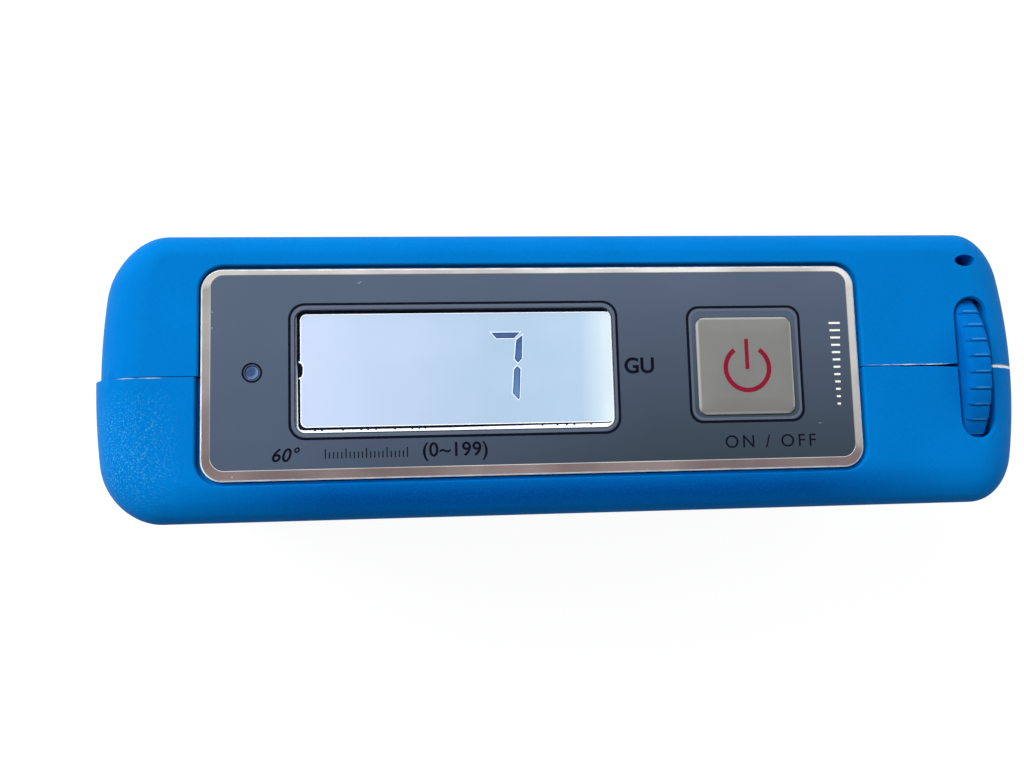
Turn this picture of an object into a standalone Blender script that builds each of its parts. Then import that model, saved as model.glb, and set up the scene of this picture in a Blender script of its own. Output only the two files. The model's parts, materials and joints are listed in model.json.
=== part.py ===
"""Pocket gloss meter: a one-angle reflectance head in a blue two-half housing.

Metres, +Z up. The meter stands on its measuring foot at z = 0, with the display on top.
X runs along the length, from the indicator to the thumbwheel. Y runs from front to rear.
The origin is the middle of the foot, below the middle of the housing.
"""

import math

import bmesh
import bpy
from mathutils import Matrix, Vector

# Housing
LENGTH = 0.1140
WIDTH = 0.0338
HEIGHT = 0.0645
WALL = 0.0022
TOP_WALL = 0.0034
BASE_WALL = 0.0020
BASE_REVEAL = 0.0005
BASE_EDGE = 0.0010
CORNER_LEFT = 0.0080
CORNER_RIGHT = 0.0070
BOW_LEFT = 0.0006
BOW_RIGHT = 0.0010
LEFT_SHY = 0.0004
END_FILLET = 0.0065
SIDE_FILLET = 0.0030
SEAM_Y = -0.0001
SEAM_GAP = 0.0003
SEAM_OPEN_GAP = 0.00045
HALF_STEP = 0.00055
CORNER_STEPS = 7
FILLET_STEPS = 5

# Clearances
CLEAR = 0.0003
PANEL_CLEAR = 0.00045
FRONT_RECESS_EXTRA = 0.00035
THROUGH = 0.0010

# Faceplate and what shows in it
PANEL_LENGTH = 0.0785
PANEL_WIDTH = 0.0247
PANEL_THICK = 0.0015
PANEL_X = -0.0043
PANEL_Y = 0.0001
PANEL_CORNER = 0.0025
PANEL_SUNK = 0.0002
RIM_WIDTH = 0.0010
RIM_DROP = 0.00045
WINDOW_LENGTH = 0.0367
WINDOW_WIDTH = 0.0138
WINDOW_X = -0.01395
WINDOW_Y = 0.00025
WINDOW_CORNER = 0.0009
WINDOW_THICK = 0.0012
BEZEL_LENGTH = 0.0432
BEZEL_WIDTH = 0.0202
BEZEL_WALL = 0.0013
BEZEL_LIP = 0.0008
BEZEL_LIP_WIDTH = 0.0012
GLASS_THICK = 0.0022
INDICATOR_X = -0.0377
INDICATOR_Y = 0.00025
INDICATOR_RADIUS = 0.00078

# Key
KEY_SIZE = 0.0118
KEY_CORNER = 0.0012
KEY_X = 0.0207
KEY_Y = 0.0002
KEY_PROUD = 0.0005
KEY_TRAVEL = 0.0006
KEY_FLANGE = 0.0011
KEY_FLANGE_THICK = 0.0010
KEY_STEM_RADIUS = 0.0018
SWITCH_SIZE = 0.0060
SWITCH_HEIGHT = 0.0022
PLUNGER_RADIUS = 0.0015
PLUNGER_DEPTH = 0.0009

# Boards
BOARD_DROP = 0.0090
BOARD_THICK = 0.0016
BOARD_OVERHANG = 0.0060
BOARD_SIDE_GAP = 0.0015
BOARD_POST_RADIUS = 0.0022
BOARD_POST_INSET_X = 0.0034
BOARD_POST_INSET_Y = 0.0034
BOARD_HOLE_DEPTH = 0.0040
BOARD_SCREW_LENGTH = 0.0050
CHIP_SIZE = 0.0100
CHIP_THICK = 0.0014

# Thumbwheel and its potentiometer
WHEEL_RADIUS = 0.0135
WHEEL_THICK = 0.0031
WHEEL_RISE = 0.0020
WHEEL_INSET = 0.0076
WHEEL_Y = -0.0004
WHEEL_RIBS = 42
WHEEL_RIB_DEPTH = 0.00040
WHEEL_SHOULDER = 0.0008
SLOT_LENGTH = 0.01725
SLOT_CLEAR_LEFT = 0.00035
SLOT_CLEAR_RIGHT = 0.00065
SLOT_FLARE = 0.00045
RELIEF_CLEAR = 0.0005
RELIEF_EDGE = 0.0020
SHAFT_RADIUS = 0.0025
POT_RADIUS = 0.0055
POT_THICK = 0.0050
POT_GAP = 0.0008
POT_FLOOR = 0.0012
POT_BOARD_WIDTH = 0.0170
POT_BOARD_HEIGHT = 0.0150
POT_BOARD_THICK = 0.0012

# Strap hole: an oval eye in the top that meets a bore from the rear wall
STRAP_HOLE_LENGTH = 0.0028
STRAP_HOLE_WIDTH = 0.00146
STRAP_HOLE_DEPTH = 0.0042
STRAP_BORE_RADIUS = 0.00085
STRAP_X_INSET = 0.0075
STRAP_Y_INSET = 0.0039
STRAP_LUG = 0.0105
STRAP_LUG_SIDE = 0.0026
STRAP_LUG_DROP = 0.0075

# Reflectance optics: both light paths meet at the middle of the foot's underside
BEAM_ANGLE = 60.0
FOOT_END_MARGIN = 0.0090
FOOT_SIDE_MARGIN = 0.0039
FOOT_THICK = 0.0030
FOOT_CORNER = 0.0030
APERTURE_LENGTH = 0.0180
APERTURE_WIDTH = 0.0090
ARM_SIZE = 0.0130
ARM_END_GAP = 0.00825
ARM_START = 0.0130
BORE_RADIUS = 0.0040
NARROW_RADIUS = 0.0032
LENS_SEAT = 0.0200
LENS_EDGE = 0.0014
LENS_BULGE = 0.0011
SLIT_BACK = 0.0120
SLIT_THICK = 0.0008
SLIT_LENGTH = 0.0040
SLIT_WIDTH = 0.0010
LAMP_RADIUS = 0.0025
LAMP_HEIGHT = 0.0062
SENSOR_RADIUS = 0.0031
SENSOR_HEIGHT = 0.0034
WEB_THICK = 0.0020
END_BOARD_THICK = 0.0012

# Battery and its door
CELL_RADIUS = 0.00725
CELL_LENGTH = 0.0505
CELL_NUB_RADIUS = 0.0027
CELL_NUB = 0.0011
CELL_X = -0.0045
CELL_SIDE_GAP = 0.00105
CRADLE_DROP = 0.00345
SPRING_SPACE = 0.0042
PLATE_SPACE = 0.0011
CRADLE_WALL = 0.0014
CRADLE_RISE = 0.0040
CRADLE_REST_RADIUS = 0.0028
CRADLE_REST_SHARE = 0.35
SPRING_WIRE = 0.0003
SPRING_TURNS = 3.5
SPRING_RADIUS = 0.0042
SPRING_TAPER = 0.0020
PLATE_SIZE = 0.0080
PLATE_THICK = 0.0005
DOOR_LENGTH = 0.0600
DOOR_HEIGHT = 0.0190
DOOR_THICK = 0.0020
DOOR_CORNER = 0.0020
HOOK_REACH = 0.0016
HOOK_THICK = 0.0012
HOOK_WIDTH = 0.0040
HOOK_SPREAD = 0.0060
LATCH_WIDTH = 0.0080
LATCH_THICK = 0.0018
LATCH_DEPTH = 0.0022
SCOOP_RADIUS = 0.0120
SCOOP_INSET = 0.0070
SCOOP_DEPTH = 0.0008

# Screws
CASE_SCREW_INSET = 0.0080
CASE_SCREW_LOW = 0.0090
CASE_SCREW_UNDER_WHEEL = 0.0065
CASE_SCREW_DROP = 0.0155
CASE_POST_RADIUS = 0.0031
CASE_POST_START = 0.0020
CASE_HEAD_DEPTH = 0.0085
CASE_SCREW_LENGTH = 0.0150
FOOT_SCREW_INSET_X = 0.0040
FOOT_SCREW_INSET_Y = 0.0028
FOOT_BOSS_HEIGHT = 0.0080
FOOT_BOSS_WALL = 0.0014
FOOT_SCREW_LENGTH = 0.0080
SCREW_RADIUS = 0.0009
HEAD_RADIUS = 0.0018
HEAD_HEIGHT = 0.0013
SMALL_SCREW_RADIUS = 0.0006
SMALL_HEAD_RADIUS = 0.0012
SMALL_HEAD_HEIGHT = 0.0009
SMALL_SCREW_LENGTH = 0.0045
SMALL_SCREW_OFFSET = 0.0046

# Places worked out from the sizes above
PANEL_TOP = HEIGHT - PANEL_SUNK
PANEL_BOTTOM = PANEL_TOP - PANEL_THICK
SEAT_Z = PANEL_BOTTOM - CLEAR
CEILING = HEIGHT - TOP_WALL
BOARD_TOP = HEIGHT - BOARD_DROP
BOARD_BOTTOM = BOARD_TOP - BOARD_THICK
WHEEL_X = LENGTH / 2 - WHEEL_INSET
WHEEL_Z = HEIGHT + WHEEL_RISE - WHEEL_RADIUS
POT_FRONT = WHEEL_X - WHEEL_THICK / 2 - CLEAR - POT_GAP
POT_BACK = POT_FRONT - POT_THICK
POT_BOARD_BACK = POT_BACK - CLEAR - POT_BOARD_THICK
BOARD_RIGHT = POT_BOARD_BACK - CLEAR
BOARD_LEFT = WINDOW_X - BEZEL_LENGTH / 2 - BOARD_OVERHANG
BOARD_WIDTH = WIDTH - 2 * (WALL + BOARD_SIDE_GAP)
RISE = math.radians(90.0 - BEAM_ANGLE)
FOOT_LENGTH = LENGTH - 2 * FOOT_END_MARGIN
FOOT_WIDTH = WIDTH - 2 * FOOT_SIDE_MARGIN
FOOT_SCREW_X = FOOT_LENGTH / 2 - FOOT_SCREW_INSET_X
FOOT_SCREW_Y = FOOT_WIDTH / 2 - FOOT_SCREW_INSET_Y
ARM_REACH = LENGTH / 2 - WALL - ARM_END_GAP
ARM_LENGTH = (ARM_REACH - ARM_SIZE / 2 * math.sin(RISE)) / math.cos(RISE)
SLIT_SEAT = ARM_LENGTH - SLIT_BACK
CASE_SCREW_MID = WHEEL_Z - WHEEL_RADIUS - CASE_SCREW_UNDER_WHEEL
CASE_SCREW_HIGH = HEIGHT - CASE_SCREW_DROP
STRAP_Y = WIDTH / 2 - STRAP_Y_INSET
CAVITY_Y = WIDTH / 2 - WALL
CELL_Y = CAVITY_Y - CELL_SIDE_GAP - CELL_RADIUS
CELL_Z = BOARD_BOTTOM - CRADLE_DROP - CRADLE_WALL - CLEAR - CELL_RADIUS
DOOR_OUT = WIDTH / 2
DOOR_LEFT = CELL_X - DOOR_LENGTH / 2
DOOR_RIGHT = CELL_X + DOOR_LENGTH / 2

for old in list(bpy.data.objects):
    bpy.data.objects.remove(old, do_unlink=True)

PARTS = bpy.data.collections.new("gloss_meter")
CUTTERS = bpy.data.collections.new("cutters")
bpy.context.scene.collection.children.link(PARTS)
bpy.context.scene.collection.children.link(CUTTERS)


def paint(name, colour, roughness, metallic=0.0, alpha=1.0):
    """A plain Principled finish."""
    material = bpy.data.materials.new(name)
    material.use_nodes = True
    shader = material.node_tree.nodes["Principled BSDF"]
    shader.inputs["Base Color"].default_value = (*colour, 1.0)
    shader.inputs["Roughness"].default_value = roughness
    shader.inputs["Metallic"].default_value = metallic
    shader.inputs["Alpha"].default_value = alpha
    return material


def add(name, bm, material=None):
    """Keep a finished bmesh as an object: a part if it has a material, a cutter if not."""
    bmesh.ops.recalc_face_normals(bm, faces=bm.faces[:])
    mesh = bpy.data.meshes.new(name)
    bm.to_mesh(mesh)
    bm.free()
    part = bpy.data.objects.new(name, mesh)
    if material is None:
        CUTTERS.objects.link(part)
        part.hide_render = True
        part.display_type = "WIRE"
        return part
    PARTS.objects.link(part)
    mesh.materials.append(material)
    mesh.shade_smooth()
    mesh.set_sharp_from_angle(angle=math.radians(32))
    return part


def boolean(target, tool, operation, solver):
    """Join a tool to the target, or cut it away."""
    modifier = target.modifiers.new(tool.name, "BOOLEAN")
    modifier.operation = operation
    modifier.solver = solver
    modifier.object = tool
    return target


def cut(target, *tools, solver="EXACT"):
    for tool in tools:
        boolean(target, tool, "DIFFERENCE", solver)
    return target


def join(target, *tools, solver="EXACT"):
    for tool in tools:
        boolean(target, tool, "UNION", solver)
    return target


def box(name, low, high, material=None):
    """A box between two corners."""
    low, high = Vector(low), Vector(high)
    bm = bmesh.new()
    bmesh.ops.create_cube(bm, size=1.0)
    size = high - low
    bmesh.ops.scale(bm, vec=size, verts=bm.verts)
    bmesh.ops.translate(bm, vec=(low + high) / 2, verts=bm.verts)
    return add(name, bm, material)


def rod(name, start, end, radius, material=None, segments=20):
    """A cylinder between two points."""
    start, end = Vector(start), Vector(end)
    bm = bmesh.new()
    bmesh.ops.create_cone(
        bm,
        cap_ends=True,
        segments=segments,
        radius1=radius,
        radius2=radius,
        depth=(end - start).length,
    )
    turn = (end - start).to_track_quat("Z", "Y").to_matrix().to_4x4()
    bmesh.ops.transform(bm, matrix=Matrix.Translation((start + end) / 2) @ turn, verts=bm.verts)
    return add(name, bm, material)


def loft(name, rings, material=None):
    """A closed solid through rings of points that all have the same count."""
    bm = bmesh.new()
    rows = [[bm.verts.new(point) for point in ring] for ring in rings]
    count = len(rows[0])
    for lower, upper in zip(rows, rows[1:]):
        for i in range(count):
            j = (i + 1) % count
            bm.faces.new((lower[i], lower[j], upper[j], upper[i]))
    bm.faces.new(list(reversed(rows[0])))
    bm.faces.new(rows[-1])
    return add(name, bm, material)


def rounded(length, width, radius, steps=4):
    """Outline of a rounded rectangle round the origin, anticlockwise."""
    points = []
    for turn, (sx, sy) in enumerate(((1, 1), (-1, 1), (-1, -1), (1, -1))):
        cx = sx * (length / 2 - radius)
        cy = sy * (width / 2 - radius)
        for step in range(steps + 1):
            angle = math.radians(90) * (turn + step / steps)
            points.append((cx + radius * math.cos(angle), cy + radius * math.sin(angle)))
    return points


def level(outline, x, y, z):
    """An outline laid flat at a height."""
    return [(x + px, y + py, z) for px, py in outline]


def slab(name, length, width, radius, centre, z_low, z_high, material=None, steps=4):
    """An upright rounded block."""
    outline = rounded(length, width, radius, steps)
    x, y = centre
    return loft(name, [level(outline, x, y, z_low), level(outline, x, y, z_high)], material)


def turned(name, profile, place, material, segments=24):
    """A solid of revolution: (radius, height) pairs run down its outer side from the top."""
    mesh = bpy.data.meshes.new(name)
    points = [(radius, 0.0, height) for radius, height in profile]
    mesh.from_pydata(points, [(i, i + 1) for i in range(len(points) - 1)], [])
    mesh.materials.append(material)
    part = bpy.data.objects.new(name, mesh)
    PARTS.objects.link(part)
    part.matrix_world = place
    screw = part.modifiers.new("turn", "SCREW")
    screw.steps = segments
    screw.render_steps = segments
    screw.use_merge_vertices = True
    screw.merge_threshold = 0.00001
    screw.use_smooth_shade = True
    return part


def facing(point, direction):
    """Matrix that puts local +Z along a direction, at a point."""
    return Matrix.Translation(point) @ Vector(direction).to_track_quat("Z", "Y").to_matrix().to_4x4()


def screw(name, seat, direction, length, shank, head, height, material, segments=12):
    """A pan-head screw: its head's underside is on the seat and its shank runs along the direction."""
    profile = [
        (0.0, height),
        (head * 0.8, height),
        (head, height * 0.5),
        (head, 0.0),
        (shank, 0.0),
        (shank, -length),
        (0.0, -length),
    ]
    place = facing(Vector(seat), -Vector(direction))
    return turned(name, profile, place, material, segments)


def plate_y(name, length, height, radius, centre, y_low, y_high, material=None):
    """A rounded plate that stands upright, facing +Y."""
    x, z = centre
    outline = rounded(length, height, radius)
    rings = [[(x + px, y, z + pz) for px, pz in outline] for y in (y_low, y_high)]
    return loft(name, rings, material)


def hinge_at(part, point):
    """Put an object's origin on its joint's axis."""
    part.data.transform(Matrix.Translation(-Vector(point)))
    part.location = point
    return part


def arc_inset(radius, z, top):
    """How far a rounded edge has drawn in at a height."""
    rise = z - (top - radius)
    return radius - math.sqrt(max(radius**2 - rise**2, 0.0)) if rise > 0 else 0.0


def plan(side, shrink, inset_x, inset_y, seam):
    """Half of the housing's outline seen from above, from the left seam to the right seam."""
    left = -LENGTH / 2 + LEFT_SHY + (HALF_STEP if side > 0 else 0.0) + shrink + inset_x
    right = LENGTH / 2 - shrink - inset_x
    depth = WIDTH / 2 - shrink - inset_y
    points = []
    for end, corner, bow, way in ((left, CORNER_LEFT, BOW_LEFT, 1), (right, CORNER_RIGHT, BOW_RIGHT, -1)):
        wide = max(corner - shrink - inset_x, 0.0006)
        deep = max(corner - shrink - inset_y, 0.0006)
        lean = math.atan(2 * bow / (depth - deep))
        turn = depth - deep * (1 - math.sin(lean))
        run = []
        for step in range(4):
            y = seam + (turn - seam) * step / 4
            run.append((end + way * bow * (max(y, 0.0) / turn) ** 2, y))
        centre = end + way * (bow + wide * math.cos(lean))
        for step in range(CORNER_STEPS + 1):
            angle = lean + (math.radians(90) - lean) * step / CORNER_STEPS
            run.append((centre - way * wide * math.cos(angle), depth - deep + deep * math.sin(angle)))
        points += run if way > 0 else reversed(run)
    return [(x, side * y) for x, y in points]


def half_solid(name, side, shrink, z_low, z_high, seam, edge, material=None):
    """One half of the housing's form, shrunk by a wall, as a closed solid."""
    end_fillet = END_FILLET - shrink
    side_fillet = max(SIDE_FILLET - shrink, 0.0005)
    heights = []
    for fillet in (end_fillet, side_fillet):
        for step in range(FILLET_STEPS + 1):
            angle = math.radians(90) * step / FILLET_STEPS
            heights.append(round(z_high - fillet + fillet * math.sin(angle), 5))
    rings = []
    for step in range(3):
        angle = math.radians(45) * step
        inset = edge * (1 - math.sin(angle))
        height = z_low + edge * (1 - math.cos(angle))
        if edge > 0 or step == 0:
            rings.append(level(plan(side, shrink, inset, inset, seam), 0, 0, height))
    for z in sorted(set(heights)):
        inset_x = arc_inset(end_fillet, z, z_high)
        inset_y = arc_inset(side_fillet, z, z_high)
        rings.append(level(plan(side, shrink, inset_x, inset_y, seam), 0, 0, z))
    return loft(name, rings, material)


BLUE = paint("housing_blue", (0.0, 0.19, 0.58), 0.42)
BLUE_WHEEL = paint("wheel_blue", (0.0, 0.18, 0.56), 0.45)
SLATE = paint("faceplate_slate", (0.10, 0.14, 0.19), 0.45, 0.6)
SILVER = paint("key_silver", (0.32, 0.31, 0.29), 0.38, 0.5)
CLEAR_WINDOW = paint("window_clear", (0.80, 0.88, 0.95), 0.05, 0.0, 0.35)
LCD_GLASS = paint("lcd_glass", (0.56, 0.68, 0.86), 0.12)
BACKLIGHT = paint("backlight_white", (0.85, 0.88, 0.92), 0.5)
BLACK = paint("black_plastic", (0.02, 0.02, 0.022), 0.5)
BLACK_ANODISED = paint("black_anodised", (0.03, 0.03, 0.033), 0.4, 0.7)
BOARD = paint("board_green", (0.02, 0.18, 0.08), 0.5)
STEEL = paint("screw_steel", (0.55, 0.55, 0.55), 0.3, 1.0)
OPTIC_GLASS = paint("optic_glass", (0.85, 0.92, 0.95), 0.03, 0.0, 0.3)
CELL_SLEEVE = paint("cell_sleeve", (0.05, 0.05, 0.06), 0.35)
CONTACT = paint("contact_nickel", (0.60, 0.58, 0.54), 0.3, 1.0)
POT_CASE = paint("pot_case", (0.04, 0.10, 0.22), 0.5)
INDICATOR = paint("indicator_smoke", (0.16, 0.22, 0.30), 0.2)

# Screw places that the housing, the foot and the boards share
case_x = LENGTH / 2 - CASE_SCREW_INSET
case_screws = [
    (-case_x, CASE_SCREW_LOW),
    (case_x, CASE_SCREW_LOW),
    (-case_x, CASE_SCREW_HIGH),
    (case_x, CASE_SCREW_MID),
]
board_post_x = (BOARD_LEFT + BOARD_POST_INSET_X, BOARD_RIGHT - BOARD_POST_INSET_X)
board_post_y = BOARD_WIDTH / 2 - BOARD_POST_INSET_Y
head_seat_y = WIDTH / 2 - CASE_HEAD_DEPTH
cradle_back = CELL_Y - CELL_RADIUS - CLEAR - CRADLE_WALL
slot_left = WHEEL_X - WHEEL_THICK / 2 - SLOT_CLEAR_LEFT
slot_right = WHEEL_X + WHEEL_THICK / 2 + SLOT_CLEAR_RIGHT
panel_hole = (PANEL_WIDTH + 2 * PANEL_CLEAR, PANEL_CORNER + PANEL_CLEAR)
recess = {}
for side, word, extra in ((-1, "front", FRONT_RECESS_EXTRA), (1, "rear", 0.0)):
    long = PANEL_LENGTH + 2 * PANEL_CLEAR + extra
    centre = (PANEL_X - extra / 2, PANEL_Y)
    recess[side] = slab(f"recess_{word}", long, *panel_hole, centre, SEAT_Z, HEIGHT + THROUGH)


def slot_outline(grow):
    width = slot_right - slot_left + 2 * grow
    length = SLOT_LENGTH + 2 * grow
    return rounded(width, length, width * 0.49, 5)


def housing_half(name, side):
    """A moulded half: the outer form, less its cavity, with the posts left standing in it."""
    seam = side * SEAM_Y + SEAM_GAP / 2
    shell = half_solid(name, side, 0.0, BASE_REVEAL, HEIGHT, seam, BASE_EDGE, BLUE)
    floor = BASE_REVEAL + BASE_WALL
    cavity = half_solid(name + "_cavity", side, WALL, floor, CEILING, -THROUGH, 0.0)
    wall = side * (WIDTH / 2 - WALL / 2)
    for i, (x, z) in enumerate(case_screws):
        start = (x, -side * CASE_POST_START, z)
        cut(cavity, rod(f"{name}_post_{i}", start, (x, wall, z), CASE_POST_RADIUS, segments=16))
    for i, way in enumerate((-1, 1)):
        x = way * FOOT_SCREW_X
        wide = SCREW_RADIUS + CLEAR + FOOT_BOSS_WALL
        near = side * (FOOT_SCREW_Y - wide)
        low = (x - wide, min(near, wall), floor - THROUGH)
        high = (x + wide, max(near, wall), FOOT_THICK + CLEAR + FOOT_BOSS_HEIGHT)
        cut(cavity, box(f"{name}_boss_{i}", low, high))
        x = board_post_x[i]
        y = side * board_post_y
        start = (x, y, BOARD_TOP + CLEAR)
        end = (x, y, CEILING + THROUGH)
        cut(cavity, rod(f"{name}_hanger_{i}", start, end, BOARD_POST_RADIUS, segments=16))
    if side < 0:
        for i, way in enumerate((-1, 1)):
            x = CELL_X + way * CELL_LENGTH * CRADLE_REST_SHARE
            start = (x, cradle_back - CLEAR, CELL_Z)
            cut(cavity, rod(f"{name}_rest_{i}", start, (x, wall, CELL_Z), CRADLE_REST_RADIUS))
    else:
        near = LENGTH / 2 - STRAP_LUG
        low = (near, STRAP_Y - STRAP_LUG_SIDE, HEIGHT - STRAP_LUG_DROP)
        high = (LENGTH / 2, WIDTH / 2, CEILING + THROUGH)
        cut(cavity, box(f"{name}_lug", low, high))
    cut(shell, cavity)
    for tool in [recess[side]] + common_cuts:
        cut(shell, tool, solver="MANIFOLD")
    for i, (x, z) in enumerate(case_screws):
        hole = SCREW_RADIUS + CLEAR
        deep = head_seat_y - CASE_SCREW_LENGTH - THROUGH
        tool = rod(f"{name}_case_hole_{i}", (x, deep, z), (x, WIDTH / 2, z), hole, segments=16)
        cut(shell, tool, solver="MANIFOLD")
        if side > 0:
            start = (x, head_seat_y, z)
            end = (x, WIDTH / 2 + THROUGH, z)
            tool = rod(f"case_counterbore_{i}", start, end, HEAD_RADIUS + CLEAR)
            cut(shell, tool, solver="MANIFOLD")
    for i, way in enumerate((-1, 1)):
        x = way * FOOT_SCREW_X
        y = side * FOOT_SCREW_Y
        end = (x, y, FOOT_THICK + FOOT_SCREW_LENGTH - 0.0012)
        hole = SCREW_RADIUS + CLEAR
        tool = rod(f"{name}_foot_hole_{i}", (x, y, -THROUGH), end, hole, segments=16)
        cut(shell, tool, solver="MANIFOLD")
        if way == side:
            x = board_post_x[0 if side < 0 else 1]
            y = side * board_post_y
            end = (x, y, BOARD_TOP + BOARD_HOLE_DEPTH)
            tool = rod(f"{name}_hanger_hole", (x, y, BOARD_TOP - THROUGH), end, hole, segments=16)
            cut(shell, tool, solver="MANIFOLD")
    return shell


bezel_hole = (BEZEL_LENGTH + 2 * CLEAR, BEZEL_WIDTH + 2 * CLEAR, 0.0015)
key_hole = (KEY_SIZE + 2 * CLEAR, KEY_SIZE + 2 * CLEAR, KEY_CORNER + CLEAR)
foot_hole = (FOOT_LENGTH + 2 * CLEAR, FOOT_WIDTH + 2 * CLEAR, FOOT_CORNER + CLEAR)
window_centre = (WINDOW_X, WINDOW_Y)
key_centre = (KEY_X, KEY_Y)
slot_centre = ((slot_left + slot_right) / 2, WHEEL_Y)
indicator_low = (INDICATOR_X, INDICATOR_Y, CEILING - THROUGH)
indicator_high = (INDICATOR_X, INDICATOR_Y, HEIGHT + THROUGH)
strap_x = LENGTH / 2 - STRAP_X_INSET
strap_bore_z = HEIGHT - STRAP_HOLE_DEPTH + STRAP_BORE_RADIUS * 1.2


def relief_rings():
    """Rings of the wheel's pocket: a disc a little larger than the wheel, with a rounded rim."""
    steps = 3
    rings = []
    for face, way in ((slot_left, 1), (slot_right, -1)):
        side = []
        for step in range(steps + 1):
            angle = math.radians(90) * step / steps
            x = face + way * RELIEF_EDGE * (1 - math.cos(angle))
            reach = WHEEL_RADIUS + RELIEF_CLEAR - RELIEF_EDGE * (1 - math.sin(angle))
            ring = []
            for i in range(48):
                turn = math.tau * i / 48
                ring.append((x, WHEEL_Y + reach * math.cos(turn), WHEEL_Z + reach * math.sin(turn)))
            side.append(ring)
        rings += side if way > 0 else reversed(side)
    return rings


common_cuts = [
    slab("bezel_opening", *bezel_hole, window_centre, CEILING - THROUGH, SEAT_Z + THROUGH / 2),
    slab("key_opening", *key_hole, key_centre, CEILING - THROUGH, SEAT_Z + THROUGH / 2),
    rod("indicator_hole", indicator_low, indicator_high, INDICATOR_RADIUS + CLEAR),
    loft(
        "wheel_slot",
        [
            level(slot_outline(0.0), *slot_centre, CEILING - THROUGH),
            level(slot_outline(0.0), *slot_centre, HEIGHT - SLOT_FLARE * 1.6),
            level(slot_outline(SLOT_FLARE * 0.3), *slot_centre, HEIGHT - SLOT_FLARE * 0.7),
            level(slot_outline(SLOT_FLARE), *slot_centre, HEIGHT),
            level(slot_outline(SLOT_FLARE), *slot_centre, HEIGHT + THROUGH),
        ],
    ),
    loft("wheel_relief", relief_rings()),
    slab("foot_opening", *foot_hole, (0.0, 0.0), -THROUGH, BASE_REVEAL + BASE_WALL + THROUGH),
    box(
        "seam_opening",
        (slot_right - THROUGH, SEAM_Y - SEAM_OPEN_GAP / 2, HEIGHT - END_FILLET - TOP_WALL),
        (LENGTH / 2 + THROUGH, SEAM_Y + SEAM_OPEN_GAP / 2, HEIGHT + THROUGH),
    ),
]
shell_front = housing_half("shell_front", -1)
shell_rear = housing_half("shell_rear", 1)
eye = []
for i in range(20):
    turn = math.tau * i / 20
    eye.append((STRAP_HOLE_LENGTH / 2 * math.cos(turn), STRAP_HOLE_WIDTH / 2 * math.sin(turn)))
cut(
    shell_rear,
    loft(
        "strap_eye",
        [level(eye, strap_x, STRAP_Y, z) for z in (HEIGHT - STRAP_HOLE_DEPTH, HEIGHT + THROUGH)],
    ),
    rod(
        "strap_bore",
        (strap_x, STRAP_Y, strap_bore_z),
        (strap_x, WIDTH / 2 + THROUGH, strap_bore_z),
        STRAP_BORE_RADIUS,
        segments=14,
    ),
    plate_y(
        "door_opening",
        DOOR_LENGTH + 2 * CLEAR,
        DOOR_HEIGHT + 2 * CLEAR,
        DOOR_CORNER + CLEAR,
        (CELL_X, CELL_Z),
        CAVITY_Y - THROUGH,
        DOOR_OUT + THROUGH,
    ),
    solver="MANIFOLD",
)

# Faceplate with a cut rim, and the clear window let into it
face = level(rounded(PANEL_LENGTH, PANEL_WIDTH, PANEL_CORNER, 6), PANEL_X, PANEL_Y, 0.0)
inner = rounded(
    PANEL_LENGTH - 2 * RIM_WIDTH, PANEL_WIDTH - 2 * RIM_WIDTH, PANEL_CORNER - RIM_WIDTH, 6
)
faceplate = loft(
    "faceplate",
    [
        [(x, y, PANEL_BOTTOM) for x, y, _ in face],
        [(x, y, PANEL_TOP - RIM_DROP) for x, y, _ in face],
        level(inner, PANEL_X, PANEL_Y, PANEL_TOP),
    ],
    SLATE,
)
window_size = (WINDOW_LENGTH + 2 * CLEAR, WINDOW_WIDTH + 2 * CLEAR, WINDOW_CORNER + CLEAR)
plate_span = (PANEL_BOTTOM - THROUGH, PANEL_TOP + THROUGH)
cut(
    faceplate,
    slab("window_cut", *window_size, window_centre, *plate_span),
    slab("key_cut", *key_hole, key_centre, *plate_span),
    bpy.data.objects["indicator_hole"],
)
slab(
    "display_window",
    WINDOW_LENGTH,
    WINDOW_WIDTH,
    WINDOW_CORNER,
    window_centre,
    PANEL_BOTTOM,
    PANEL_BOTTOM + WINDOW_THICK,
    CLEAR_WINDOW,
)

# Display module: a frame on the board, with the glass over its backlight
bezel_top = PANEL_BOTTOM - CLEAR
inside = (BEZEL_LENGTH - 2 * BEZEL_WALL, BEZEL_WIDTH - 2 * BEZEL_WALL)
lip = (inside[0] - 2 * BEZEL_LIP_WIDTH, inside[1] - 2 * BEZEL_LIP_WIDTH)
glass_top = bezel_top - BEZEL_LIP - CLEAR
glass_low = glass_top - GLASS_THICK
lcd_frame = slab(
    "lcd_frame", BEZEL_LENGTH, BEZEL_WIDTH, 0.0012, window_centre, BOARD_TOP + CLEAR, bezel_top, BLACK
)
cut(
    lcd_frame,
    slab("lcd_frame_well", *inside, 0.0006, window_centre, BOARD_TOP - THROUGH, bezel_top - BEZEL_LIP),
    slab("lcd_frame_view", *lip, 0.0006, window_centre, BOARD_TOP, bezel_top + THROUGH),
)
fit = (inside[0] - 2 * CLEAR, inside[1] - 2 * CLEAR, 0.0004)
slab("lcd_glass", *fit, window_centre, glass_low, glass_top, LCD_GLASS, steps=2)
slab("backlight", *fit, window_centre, BOARD_TOP + CLEAR, glass_low - CLEAR, BACKLIGHT, steps=2)

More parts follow.
